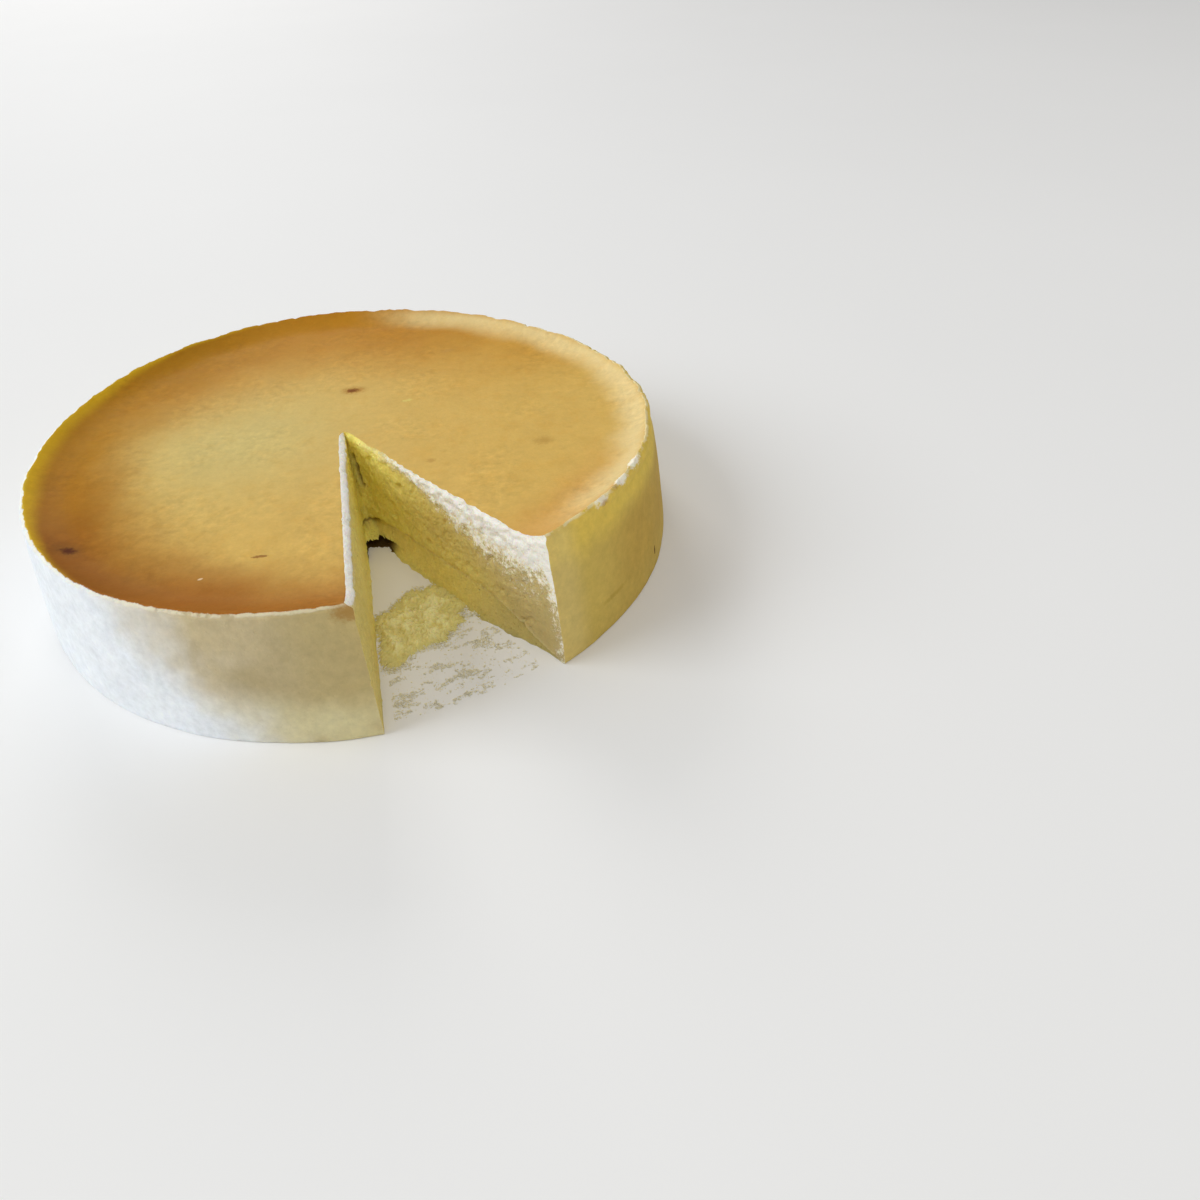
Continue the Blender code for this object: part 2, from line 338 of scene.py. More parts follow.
@dataclass(frozen=True)
class SliceCut:
    """The missing slice: where its faces stand and their relief."""

    apex: tuple[float, float] = (-2.5 * MM, 0.3 * MM)
    left_deg: float = 282.2
    right_deg: float = -47.5
    left_bevel: float = 2.3 * MM
    left_bevel_starts: float = 0.968
    right_bevel: float = 0.9 * MM
    bevel_starts: float = 0.962
    crease: float = 10.4 * MM
    crease_rises_over: float = 25.0 * MM
    crease_falls: tuple[float, float] = (82.0 * MM, 128.0 * MM)
    crease_notch: float = 0.9 * MM
    foot_reach: float = 4.4 * MM
    foot_starts: tuple[float, float] = (10.0 * MM, 34.0 * MM)
    foot_ends: tuple[float, float] = (85.0 * MM, 120.0 * MM)
    foot_curve: float = 1.6
    lump_reach: float = 19.8 * MM
    lump_slant: float = 0.62
    lump_softness: float = 3.0 * MM
    lump_span: tuple[float, float] = (24.0 * MM, 34.0 * MM)
    lump_underside: float = 3.0 * MM
    lump_top: float = 5.0 * MM
    hollow_reach: float = 9.0 * MM
    shadow_sheet_height: float = 0.30 * MM
    corner_fill: float = 6.0 * MM
    corner_spread: float = 2.07
    curd_size: float = 3.4 * MM
    curd_depth: float = 0.45 * MM
    pit_size: float = 6.0 * MM
    pit_depth: float = 1.0 * MM
    band_proud: float = 0.85 * MM
    band_lumps: float = 3.6 * MM
    crack_depth: float = 2.8 * MM
    tear_depth: float = 1.6 * MM
    scoop_depth: float = 0.9 * MM
    noise: LatticeNoise = LatticeNoise(23)

    @property
    def middle(self) -> float:
        """Direction in plan from the tip of the cut out through its mouth, in radians."""
        return math.radians(0.5 * (self.left_deg - 360.0 + self.right_deg))

    @property
    def half_opening(self) -> float:
        """Half the angle between the two faces, in radians."""
        return math.radians(0.5 * (self.right_deg - self.left_deg + 360.0))

    def crease_height(self, along: np.ndarray) -> np.ndarray:
        """Height of the crease: it climbs as a square root from the tip and runs out at the rim."""
        climb = np.sqrt(np.clip(along / self.crease_rises_over, 0.0, 1.0))
        return self.crease * climb * fall(*self.crease_falls, along)

    def foot(self, along: np.ndarray, height: np.ndarray) -> np.ndarray:
        """Depth of the right face below its crease.

        Args:
            along: Distance from the tip along the face.
            height: Height above the base.

        Returns:
            A notch, less a foot that reaches out by (1 - height / crease)^curve.
        """
        ragged = self.noise.layers(sheet(along, 0.0 * along) / (5.0 * MM), 3)
        crease = np.maximum(self.crease_height(along) + 0.5 * MM * ragged, 0.1 * MM)
        reach = self.foot_reach * smooth_step(*self.foot_starts, along)
        reach = reach * fall(*self.foot_ends, along)
        below = np.clip(1.0 - height / crease, 0.0, 1.0)
        edge = smooth_step(0.0, 0.06, below)
        return edge * (self.crease_notch * (1.0 - below) - reach * below ** self.foot_curve)

    def lump_shift(self, along: np.ndarray, height: np.ndarray) -> np.ndarray:
        """How far the faces near the tip stand out into the gap.

        Args:
            along: Distance from the tip along the face, negative on the left face.
            height: Height above the base.

        Returns:
            A torn lump with a blunt front edge, a hollow under it, and over it the rounded,
            filled corner, which sharpens with height. Below the hollow the lowest rows reach out as a
            thin sheet on the floor, which cut_tone paints with shadow.
        """
        ragged = self.noise.layers(sheet(along, height) / (4.0 * MM), 3)
        side = along * math.sin(self.half_opening)
        to_front = (self.lump_reach + self.lump_slant * side + 0.8 * MM * ragged
                    - np.abs(along) * math.cos(self.half_opening))
        front = 0.5 * (to_front + np.hypot(to_front, self.lump_softness))
        front = front * fall(*self.lump_span, np.abs(along))
        under = smooth_step(self.lump_underside - 0.3 * MM, self.lump_underside + 0.4 * MM,
                            height + 0.35 * MM * ragged)
        top = np.maximum(self.lump_top, self.crease_height(along))
        share = np.clip((height - self.lump_underside) / (top - self.lump_underside), 0.0, 1.0)
        span = self.corner_spread * self.corner_fill
        fill = self.corner_fill * np.clip(1.0 - np.abs(along) / span, 0.0, 1.0) ** 2
        fill = fill * fall(7.0 * MM, 30.0 * MM, height)
        back = self.hollow_reach * fall(0.0, self.lump_span[1], np.abs(along))
        lump = fill + (front - fill) * (1.0 - share * share * (3.0 - 2.0 * share))
        shift = lump * under - back * (1.0 - under)
        # The lowest rows reach out under the lump as a thin sheet that carries painted shadow.
        return np.where(height < self.shadow_sheet_height, front * 1.01, shift)

    def torn_band(self, along: np.ndarray, below: np.ndarray) -> np.ndarray:
        """Share of the fluffy crumb that stands proud under the upper edge of the right face.

        Args:
            along: Distance from the tip along the face.
            below: Distance below the upper edge.

        Returns:
            1 inside a band that widens outwards and ends in a torn line, 0 below it.
        """
        width = 3.0 * MM + 10.0 * MM * smooth_step(18.0 * MM, 100.0 * MM, along)
        wobble = self.noise.layers(sheet(along, below) / (9.0 * MM) + 9.0, 4, 0.65)
        edge = smooth_step(0.60, 1.15, below / width + 0.7 * wobble)
        return (1.0 - edge) * smooth_step(6.0 * MM, 20.0 * MM, along)

    def whiteness_dry_and_lit(self, along: np.ndarray, height: np.ndarray, below: np.ndarray,
                  right: np.ndarray) -> np.ndarray:
        """Share of white, dry crumb on the cut faces, partly painted highlight where light falls on
        the upper edges.

        Args:
            along: Distance from the tip along the face.
            height: Height above the base.
            below: Distance below the upper edge.
            right: Whether each point lies on the right face.

        Returns:
            A zone under the right face's upper edge that widens outwards and fades downwards, its
            outer end, lighter high up, and the bevelled upper edge of the left face: dry crumb, partly
            painted highlight.
        """
        drift = self.noise.layers(sheet(along, height) / (9.0 * MM) + 2.0, 3, 0.6)
        width = 1.1 * MM + 9.9 * MM * smooth_step(26.0 * MM, 100.0 * MM, along)
        zone = fall(0.0, 2.80, below / width + 0.35 * drift)
        zone = zone * smooth_step(8.0 * MM, 56.0 * MM, along)
        end = smooth_step(113.0 * MM, 119.5 * MM, along + 1.5 * MM * drift)
        end = end * (0.36 + 0.59 * smooth_step(16.0 * MM, 42.0 * MM, height))
        bevel = fall(1.2 * MM, 2.2 * MM, below + 0.3 * MM * drift)
        return np.where(right, np.maximum(zone, end), bevel)

    def depth(self, along: np.ndarray, height: np.ndarray, share: np.ndarray,
              right: bool) -> np.ndarray:
        """How far a cut face lies behind its flat plan.

        Args:
            along: Distance from the tip along the face.
            height: Height above the base.
            share: Height as a share of the full height there.
            right: Whether this is the right face, which has the foot.

        Returns:
            Curds and pits of the crumb, the bevel of the upper edge, the foot and the corner crack.
        """
        place = sheet(along if right else -along, height)
        rough = 1.0 - 0.75 * smooth_step(0.0, 0.12, 1.0 - height / self.smooth_below(along, right))
        curds = self.noise.layers(place / self.curd_size, 3, 0.62) * self.curd_depth
        slow = self.noise.layers(place / (13.0 * MM), 3) * 0.35 * MM
        pits = smooth_step(0.38, 0.66, self.noise.layers(place / self.pit_size + 5.0, 2))
        calm = 1.0 - 0.75 * smooth_step(106.0 * MM, 119.0 * MM, along)
        relief = (rough * (curds + pits * self.pit_depth) + slow) * calm
        upper = smooth_step(self.bevel_starts, 1.0, share)
        rounded = np.clip((share - self.left_bevel_starts) / (1.0 - self.left_bevel_starts), 0.0, 1.0)
        bevel = self.right_bevel * upper if right else self.left_bevel * rounded ** 2
        total = relief * (1.0 - 0.7 * upper) + bevel
        if right:
            below = height / np.maximum(share, 0.01) - height
            lumps = 0.55 - self.noise.cells(place / self.band_lumps)
            proud = self.band_proud * (0.5 + 1.8 * lumps) * calm
            total = total - proud * self.torn_band(along, below)
            total = total + self.foot(along, height) + self.scoop(along, height)
        total = total + self.tear(along, height)
        return total * smooth_step(0.0, 2.5 * MM, along) + self.tip_crack(along, height, right)

    def tear(self, along: np.ndarray, height: np.ndarray) -> np.ndarray:
        """Groove where the lump at the tip tore away, darkened in cut_tone with painted shade.

        Args:
            along: Distance from the tip along the face.
            height: Height above the base.

        Returns:
            A bell curve over the lump's wandering upper edge, fading out along the face.
        """
        wander = 0.6 * MM * self.noise.at(sheet(along, 0.0 * along) / (4.0 * MM))
        over = height - np.maximum(self.lump_top, self.crease_height(along)) - 0.5 * MM - wander
        fade = fall(9.0 * MM, 19.0 * MM, along)
        return self.tear_depth * hill(over, 0.0, 0.7 * MM) * fade

    def smooth_below(self, along: np.ndarray, right: bool) -> np.ndarray:
        """Height below which the face was smoothed."""
        return np.maximum(self.crease_height(along), 0.2 * MM) if right else 0.2 * MM + 0.0 * along

    def scoop(self, along: np.ndarray, height: np.ndarray) -> np.ndarray:
        """Shallow torn scoop halfway up the right face, near the tip: two bell curves."""
        return self.scoop_depth * hill(along, 9.0 * MM, 4.0 * MM) * hill(height, 24.0 * MM, 8.0 * MM)

    def tip_crack(self, along: np.ndarray, height: np.ndarray, right: bool) -> np.ndarray:
        """Slit in the inner corner, halfway up, darkened in cut_tone with painted shade.

        Args:
            along: Distance from the tip along the face.
            height: Height above the base.
            right: Whether this is the right face, the only one that has it.

        Returns:
            A bell curve across a wandering, leaning line, within a window of heights.
        """
        if not right:
            return 0.0 * along
        wander = 0.9 * MM * self.noise.layers(sheet(height, 0.0 * height) / (4.0 * MM), 2)
        centre = 3.4 * MM - 0.05 * (height - 28.0 * MM)
        slit = hill(along - centre, wander, 1.15 * MM)
        window = smooth_step(20.0 * MM, 22.5 * MM, height)
        window = window * fall(31.0 * MM, 37.0 * MM, height)
        return self.crack_depth * slit * window


class Surface:
    """Triangles gathered patch by patch over shared, numbered vertices."""

    def __init__(self) -> None:
        """Start with no vertices and no triangles."""
        self.points: list[np.ndarray] = []
        self.count = 0
        self.triangles: list[np.ndarray] = []
        self.finish: list[np.ndarray] = []

    def add(self, points: np.ndarray) -> np.ndarray:
        """Number new vertices.

        Args:
            points: Positions, shape (..., 3).

        Returns:
            Their numbers, in the shape of the grid they came in.
        """
        shape = points.shape[:-1]
        size = int(np.prod(shape))
        self.points.append(points.reshape(-1, 3))
        numbers = np.arange(self.count, self.count + size).reshape(shape)
        self.count += size
        return numbers

    def all_points(self) -> np.ndarray:
        """Every vertex so far, in order of its number."""
        return np.concatenate(self.points)

    def _keep(self, triangles: np.ndarray, finish: Face) -> None:
        """Store triangles, leaving out those with a repeated corner.

        Args:
            triangles: Vertex numbers, three a row.
            finish: Finish of them all.
        """
        a, b, c = triangles.T
        whole = triangles[(a != b) & (b != c) & (c != a)]
        self.triangles.append(whole)
        self.finish.append(np.full(len(whole), finish.value))

    def grid(self, numbers: np.ndarray, finish: Face, flip: bool = False) -> None:
        """Cover a grid of vertices with two triangles a cell.

        Args:
            numbers: Vertex numbers, shape (rows, columns).
            finish: Finish of the patch.
            flip: Whether to turn its faces over.
        """
        a, b = numbers[:-1, :-1].ravel(), numbers[1:, :-1].ravel()
        c, d = numbers[1:, 1:].ravel(), numbers[:-1, 1:].ravel()
        triangles = np.concatenate([np.stack([a, b, c], 1), np.stack([a, c, d], 1)])
        self._keep(triangles[:, ::-1] if flip else triangles, finish)

    def seam(self, fine: np.ndarray, coarse: np.ndarray, finish: Face, flip: bool = False) -> None:
        """Join a row of vertices to a row with half as many cells.

        Args:
            fine: Numbers of 2n + 1 vertices.
            coarse: Numbers of n + 1 vertices.
            finish: Finish of the strip.
            flip: Whether to turn its faces over.
        """
        start, middle, end = fine[:-2:2], fine[1:-1:2], fine[2::2]
        near, far = coarse[:-1], coarse[1:]
        triangles = np.concatenate([np.stack([start, middle, near], 1),
                                    np.stack([middle, far, near], 1),
                                    np.stack([middle, end, far], 1)])
        self._keep(triangles[:, ::-1] if flip else triangles, finish)

    def mesh(self, name: str, cap: Sequence[int]) -> bpy.types.Mesh:
        """Make the mesh.

        Args:
            name: Name of the mesh.
            cap: Loop of vertex numbers that one flat face of the first finish closes.

        Returns:
            The mesh, each face carrying its finish as a material index.
        """
        faces = np.concatenate(self.triangles).tolist() + [[int(number) for number in cap]]
        finishes = np.concatenate(self.finish).tolist() + [Face.SKIN.value]
        mesh = bpy.data.meshes.new(name)
        mesh.from_pydata(self.all_points().tolist(), [], faces)
        mesh.polygons.foreach_set("material_index", finishes)
        mesh.validate()
        return mesh


def store(mesh: bpy.types.Mesh, name: str, values: np.ndarray) -> None:
    """Write one value or colour per vertex into a named attribute.

    Args:
        mesh: Mesh to write to.
        name: Name of the attribute.
        values: One number, or one row of three, per vertex.
    """
    if values.ndim == 1:
        attribute = mesh.attributes.new(name, "FLOAT", "POINT")
        attribute.data.foreach_set("value", values.astype(np.float32))
        return
    attribute = mesh.attributes.new(name, "FLOAT_COLOR", "POINT")
    opaque = np.concatenate([values, np.ones((len(values), 1))], axis=1)
    attribute.data.foreach_set("color", opaque.astype(np.float32).ravel())


def place_piece(mesh: bpy.types.Mesh, node: str | None) -> bpy.types.Object:
    """Put a finished mesh into the scene as a piece of the cake.

    Args:
        mesh: The mesh, in place.
        node: Node of the model that the piece stands for, if any.

    Returns:
        The new object.
    """
    piece = bpy.data.objects.new(mesh.name, mesh)
    bpy.context.collection.objects.link(piece)
    mesh.shade_smooth()
    mesh.set_sharp_from_angle(angle=math.radians(SHARP_DEG))
    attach(piece, "root")
    if node:
        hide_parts(node)
    return piece


class Wire:
    """A shader socket whose operators add the Math nodes that work them out."""

    def __init__(self, graph: Graph, socket: bpy.types.NodeSocket) -> None:
        """Hold a socket of a graph.

        Args:
            graph: Graph that new nodes go into.
            socket: Output socket.
        """
        self.graph = graph
        self.socket = socket

    def _math(self, operation: str, first: Wire | float, second: Wire | float) -> Wire:
        """One Math node of two values."""
        return self.graph.node("ShaderNodeMath", {"operation": operation}, {0: first, 1: second})

    def __add__(self, other: Wire | float) -> Wire:
        """Sum."""
        return self._math("ADD", self, other)

    __radd__ = __add__

    def __sub__(self, other: Wire | float) -> Wire:
        """Difference."""
        return self._math("SUBTRACT", self, other)

    def __rsub__(self, other: Wire | float) -> Wire:
        """Reflected difference."""
        return self._math("SUBTRACT", other, self)

    def __mul__(self, other: Wire | float) -> Wire:
        """Product."""
        return self._math("MULTIPLY", self, other)

    __rmul__ = __mul__

    def step(self, start: float, end: float) -> Wire:
        """Smooth rise from 0 at start to 1 at end."""
        return self.graph.node("ShaderNodeMapRange", {"interpolation_type": "SMOOTHSTEP"},
                               {"Value": self, "From Min": start, "From Max": end})


class Graph:
    """Node tree of one material."""

    def __init__(self, name: str) -> None:
        """Make a material with an empty tree.

        Args:
            name: Name of the material.
        """
        self.material = bpy.data.materials.new(name)
        self.material.use_nodes = True
        self.tree = self.material.node_tree
        self.tree.nodes.clear()

    def node(self, kind: str, settings: dict, inputs: dict, output: int | str = 0) -> Wire:
        """Add a node.

        Args:
            kind: Node type.
            settings: Properties, set first.
            inputs: Values or wires by socket name or number.
            output: Output socket to return.

        Returns:
            The output as a wire.
        """
        node = self.tree.nodes.new(kind)
        for key, value in settings.items():
            setattr(node, key, value)
        for key, value in inputs.items():
            if isinstance(value, Wire):
                self.tree.links.new(value.socket, node.inputs[key])
            else:
                node.inputs[key].default_value = value
        return Wire(self, node.outputs[output])

    def place(self) -> Wire:
        """Object coordinates, in metres."""
        return self.node("ShaderNodeTexCoord", {}, {}, "Object")

    def attribute(self, name: str) -> Wire:
        """A vertex attribute as a value."""
        return self.node("ShaderNodeAttribute", {"attribute_name": name}, {}, "Fac")

    def tone(self, name: str) -> Wire:
        """A vertex attribute as a colour."""
        return self.node("ShaderNodeAttribute", {"attribute_name": name}, {}, "Color")

    def noise(self, size: float, detail: float = 3.0, roughness: float = 0.55) -> Wire:
        """Noise, about 0 to 1.

        Args:
            size: Size of its largest features in metres.
            detail: Octaves.
            roughness: Strength of the finer octaves.

        Returns:
            The noise value.
        """
        return self.node("ShaderNodeTexNoise", {}, {
            "Vector": self.place(), "Scale": 1.0 / size, "Detail": detail, "Roughness": roughness})

    def cells(self, size: float) -> Wire:
        """Distance to the nearest of many scattered points, for pores and curds."""
        return self.node("ShaderNodeTexVoronoi", {}, {"Vector": self.place(), "Scale": 1.0 / size})

    def spot(self, mark: Mark) -> Wire:
        """Soft elliptical mask of a mark on the top.

        Args:
            mark: The mark.

        Returns:
            1 at its middle, 0 outside.
        """
        local = self.node("ShaderNodeMapping", {"vector_type": "TEXTURE"}, {
            "Vector": self.place(), "Location": (mark.x * MM, mark.y * MM, mark.z * MM),
            "Rotation": (0.0, 0.0, math.radians(mark.turn_deg)),
            "Scale": (mark.length * MM, mark.width * MM, mark.deep * MM)})
        away = self.node("ShaderNodeVectorMath", {"operation": "LENGTH"}, {0: local}, "Value")
        wobble = self.noise(1.3 * MM, 3.0, 0.65) * 1.8 - 0.9
        return (away + wobble).step(1.0 + mark.softness, 1.0 - mark.softness)

    def mix(self, first: Wire | Colour, second: Wire | Colour, share: Wire | float,
            mode: str = "MIX") -> Wire:
        """Mix two colours.

        Args:
            first: Colour at share 0.
            second: Colour at share 1.
            share: How much of the second.
            mode: Blend type.

        Returns:
            The mixed colour.
        """
        sockets = {0: share, 6: self._opaque(first), 7: self._opaque(second)}
        return self.node("ShaderNodeMix", {"data_type": "RGBA", "blend_type": mode}, sockets, 2)

    @staticmethod
    def _opaque(colour: Wire | Colour) -> Wire | tuple[float, float, float, float]:
        """A colour with its alpha, or a wire as it is."""
        return colour if isinstance(colour, Wire) else (*colour, 1.0)

    def lighten(self, colour: Wire | Colour, amount: Wire) -> Wire:
        """Multiply a colour by a value, to lighten or darken it."""
        factor = self.node("ShaderNodeCombineXYZ", {}, {0: amount, 1: amount, 2: amount})
        return self.node("ShaderNodeVectorMath", {"operation": "MULTIPLY"}, {0: colour, 1: factor})

    def bump(self, height: Wire, distance: float, strength: float = 1.0) -> Wire:
        """A Bump node's normal for a height in shares of a distance in metres."""
        return self.node("ShaderNodeBump", {}, {
            "Height": height, "Distance": distance, "Strength": strength})

    def finish(self, colour: Wire, roughness: Wire | float, normal: Wire, soft: float,
               soft_radius: Colour, gloss: float = 0.25) -> bpy.types.Material:
        """Close the tree with a Principled shader.

        Args:
            colour: Base colour.
            roughness: Roughness.
            normal: Normal.
            soft: Weight of the light that passes under the surface.
            soft_radius: How far red, green and blue light travel there, in metres.
            gloss: Strength of the plain reflection.

        Returns:
            The material.
        """
        shader = self.node("ShaderNodeBsdfPrincipled", {}, {
            "Base Color": colour, "Roughness": roughness, "Normal": normal,
            "Subsurface Weight": soft, "Subsurface Radius": soft_radius, "Subsurface Scale": 1.0,
            "Specular IOR Level": gloss})
        output = self.tree.nodes.new("ShaderNodeOutputMaterial")
        self.tree.links.new(shader.socket, output.inputs["Surface"])
        return self.material


@dataclass(frozen=True)
class Mark:
    """A small mark on the browned top or the side.

    Its place, half its length and width, and how deep it reaches are in millimetres.
    """

    x: float
    y: float
    z: float
    length: float
    width: float
    turn_deg: float
    colour: Colour
    strength: float
    deep: float = 6.0
    softness: float = 0.25


@dataclass(frozen=True)
class BrownedSkin:
    """Finish of the whole outside: browned top, pale side, and the torn edge between them."""

    torn_white: Colour = (1.0, 0.94, 0.72)
    marks: tuple[Mark, ...] = ()

    def material(self) -> bpy.types.Material:
        """Build the material.

        Returns:
            Top and side tones from the mesh, parted along a ragged line at the rim.
        """
        graph = Graph("browned_skin")
        from_rim = graph.attribute("from_rim")
        ragged = (graph.noise(3.2 * MM, 4.0, 0.62) - 0.5) * 1.5
        edge = from_rim + ragged
        top = edge.step(-0.75, -0.35)
        rough_patch = 0.35 + graph.noise(34.0 * MM, 2.0).step(0.42, 0.60) * 0.65
        mottle = (graph.noise(3.4 * MM, 3.0, 0.62) - 0.5) * 0.52 * rough_patch
        grain = (graph.noise(1.1 * MM, 3.0, 0.6) - 0.5) * 0.16
        broad = (graph.noise(15.0 * MM, 3.0, 0.6) - 0.5) * 0.16
        top_tone = graph.lighten(graph.tone("top_tone"), 1.0 + mottle + grain + broad)
        toasted = graph.noise(8.0 * MM, 4.0, 0.65).step(0.47, 0.68) * 0.30
        top_tone = graph.mix(top_tone, (0.94, 0.82, 0.62), toasted, "MULTIPLY")
        freckle = graph.cells(10.0 * MM).step(0.20, 0.02) * graph.noise(25.0 * MM, 2.0).step(0.5, 0.62)
        top_tone = graph.mix(top_tone, (0.34, 0.16, 0.03), freckle * 0.22)
        patch = graph.noise(14.0 * MM, 5.0, 0.62)
        speck = graph.noise(3.0 * MM, 4.0, 0.7)
        side_tone = graph.lighten(graph.tone("side_tone"), 0.66 + patch * 0.28 + speck * 0.40)
        colour = graph.mix(side_tone, top_tone, top)
        near = edge.step(-2.0, -1.2) * edge.step(-0.2, -0.55)
        torn = near * graph.noise(6.0 * MM, 3.0, 0.7).step(0.36, 0.50)
        torn_tone = graph.mix(graph.tone("side_tone"), self.torn_white, 0.55)
        colour = graph.mix(colour, torn_tone, torn * 0.8)
        for mark in self.marks:
            colour = graph.mix(colour, mark.colour, graph.spot(mark) * mark.strength)
        peel = graph.noise(2.6 * MM, 2.0, 0.5) * 0.5 + graph.noise(0.7 * MM, 2.0, 0.5) * 0.2
        pores = graph.cells(1.9 * MM).step(0.02, 0.32) * 0.35 * (1.0 - top)
        crumbs = graph.noise(1.0 * MM, 3.0, 0.7) * (torn + 0.25 * (1.0 - top))
        normal = graph.bump(peel * (0.65 + 0.35 * top) + pores + crumbs * 1.6, 0.25 * MM, 0.7)
        rough = 0.50 - 0.13 * top + graph.noise(9.0 * MM, 3.0) * 0.10
        return graph.finish(colour, rough, normal, 0.15, (3.0 * MM, 1.8 * MM, 0.8 * MM), 0.012)


@dataclass(frozen=True)
class CutCrumb:
    """Finish of the cut faces and of what was torn from them."""

    name: str = "cut_crumb"
    pore_share: float = 0.30
    cream_and_highlight: Colour = (0.95, 0.84, 0.56)
    white: Colour = (1.00, 0.965, 0.88)

    def material(self) -> bpy.types.Material:
        """Build the material.

        Returns:
            The crumb's tones from the mesh, with moist pores and grains.
        """
        graph = Graph(self.name)
        fine = graph.noise(0.9 * MM, 4.0, 0.7)
        patch = graph.noise(4.5 * MM, 4.0, 0.65)
        tone = graph.lighten(graph.tone("cut_tone"), 0.64 + patch * 0.46 + fine * 0.26)
        pores = graph.cells(1.6 * MM).step(0.30, 0.06) * graph.noise(6.0 * MM, 3.0).step(0.45, 0.60)
        tone = graph.mix(tone, (0.34, 0.22, 0.05), pores * self.pore_share)
        # Dry white crumb, partly painted highlight on the lit upper edges of the cut.
        fluffy_and_lit = graph.attribute("fluffy_and_lit")
        grains = graph.noise(0.8 * MM, 3.0, 0.7) * 2.2 + graph.noise(2.8 * MM, 3.0, 0.65) * 1.8
        dusted = fluffy_and_lit * 1.45 + grains - 2.0
        dry_and_lit = dusted.step(0.30, 0.62) * fluffy_and_lit.step(0.0, 0.12)
        tone = graph.mix(tone, self.cream_and_highlight, dry_and_lit * 0.75)
        tone = graph.mix(tone, self.white, dusted.step(0.55, 1.05))
        curds = graph.noise(2.6 * MM, 3.0, 0.6)
        height = fine * 0.7 + graph.cells(1.3 * MM) * 0.5 - pores * 0.6 + dry_and_lit * 0.5 + curds * 1.2
        normal = graph.bump(height, 0.55 * MM, 0.9)
        rough = 0.52 + graph.noise(2.0 * MM, 2.0) * 0.2
        return graph.finish(tone, rough, normal, 0.25, (4.0 * MM, 2.2 * MM, 0.9 * MM))


@dataclass(frozen=True)
class Browned:
    """A stretch of the top that is browned inwards from the rim.

    Its middle, half width and soft edge are in degrees, its two distances from the rim in
    millimetres.
    """

    centre_deg: float
    half_width: float
    soft: float
    full_to: float
    fades_at: float
    tone: Colour
    strength: float

    def share(self, angle: np.ndarray, away: np.ndarray) -> np.ndarray:
        """How brown the top is.

        Args:
            angle: Angles round the cake.
            away: Distances in from the rim.

        Returns:
            The stretch's sector times a smooth fall inwards.
        """
        inwards = fall(self.full_to * MM, self.fades_at * MM, away)
        return self.strength * sector(angle, self.centre_deg, self.half_width, self.soft) * inwards


BROWNING: tuple[Browned, ...] = (
    Browned(112.0, 40.0, 30.0, 2.0, 13.0, (0.74, 0.45, 0.09), 0.40),
    Browned(74.0, 22.0, 38.0, 4.0, 92.0, (0.57, 0.285, 0.038), 0.80),
    Browned(118.0, 30.0, 40.0, 12.0, 86.0, (0.485, 0.215, 0.018), 0.95),
    Browned(174.0, 34.0, 30.0, 9.0, 54.0, (0.415, 0.190, 0.014), 1.00),
    Browned(-142.0, 14.0, 24.0, 8.0, 50.0, (0.390, 0.165, 0.016), 0.85),
    Browned(-122.0, 16.0, 20.0, 4.0, 37.0, (0.300, 0.105, 0.012), 0.95),
    Browned(-93.0, 14.0, 16.0, 3.0, 39.0, (0.375, 0.138, 0.020), 0.95),
    Browned(-44.0, 12.0, 30.0, 6.0, 32.0, (0.660, 0.350, 0.090), 0.85),
)


@dataclass(frozen=True)
class CutFace:
    """Grid of points of one cut face, and the vertex numbers they got."""

    points: np.ndarray
    numbers: np.ndarray


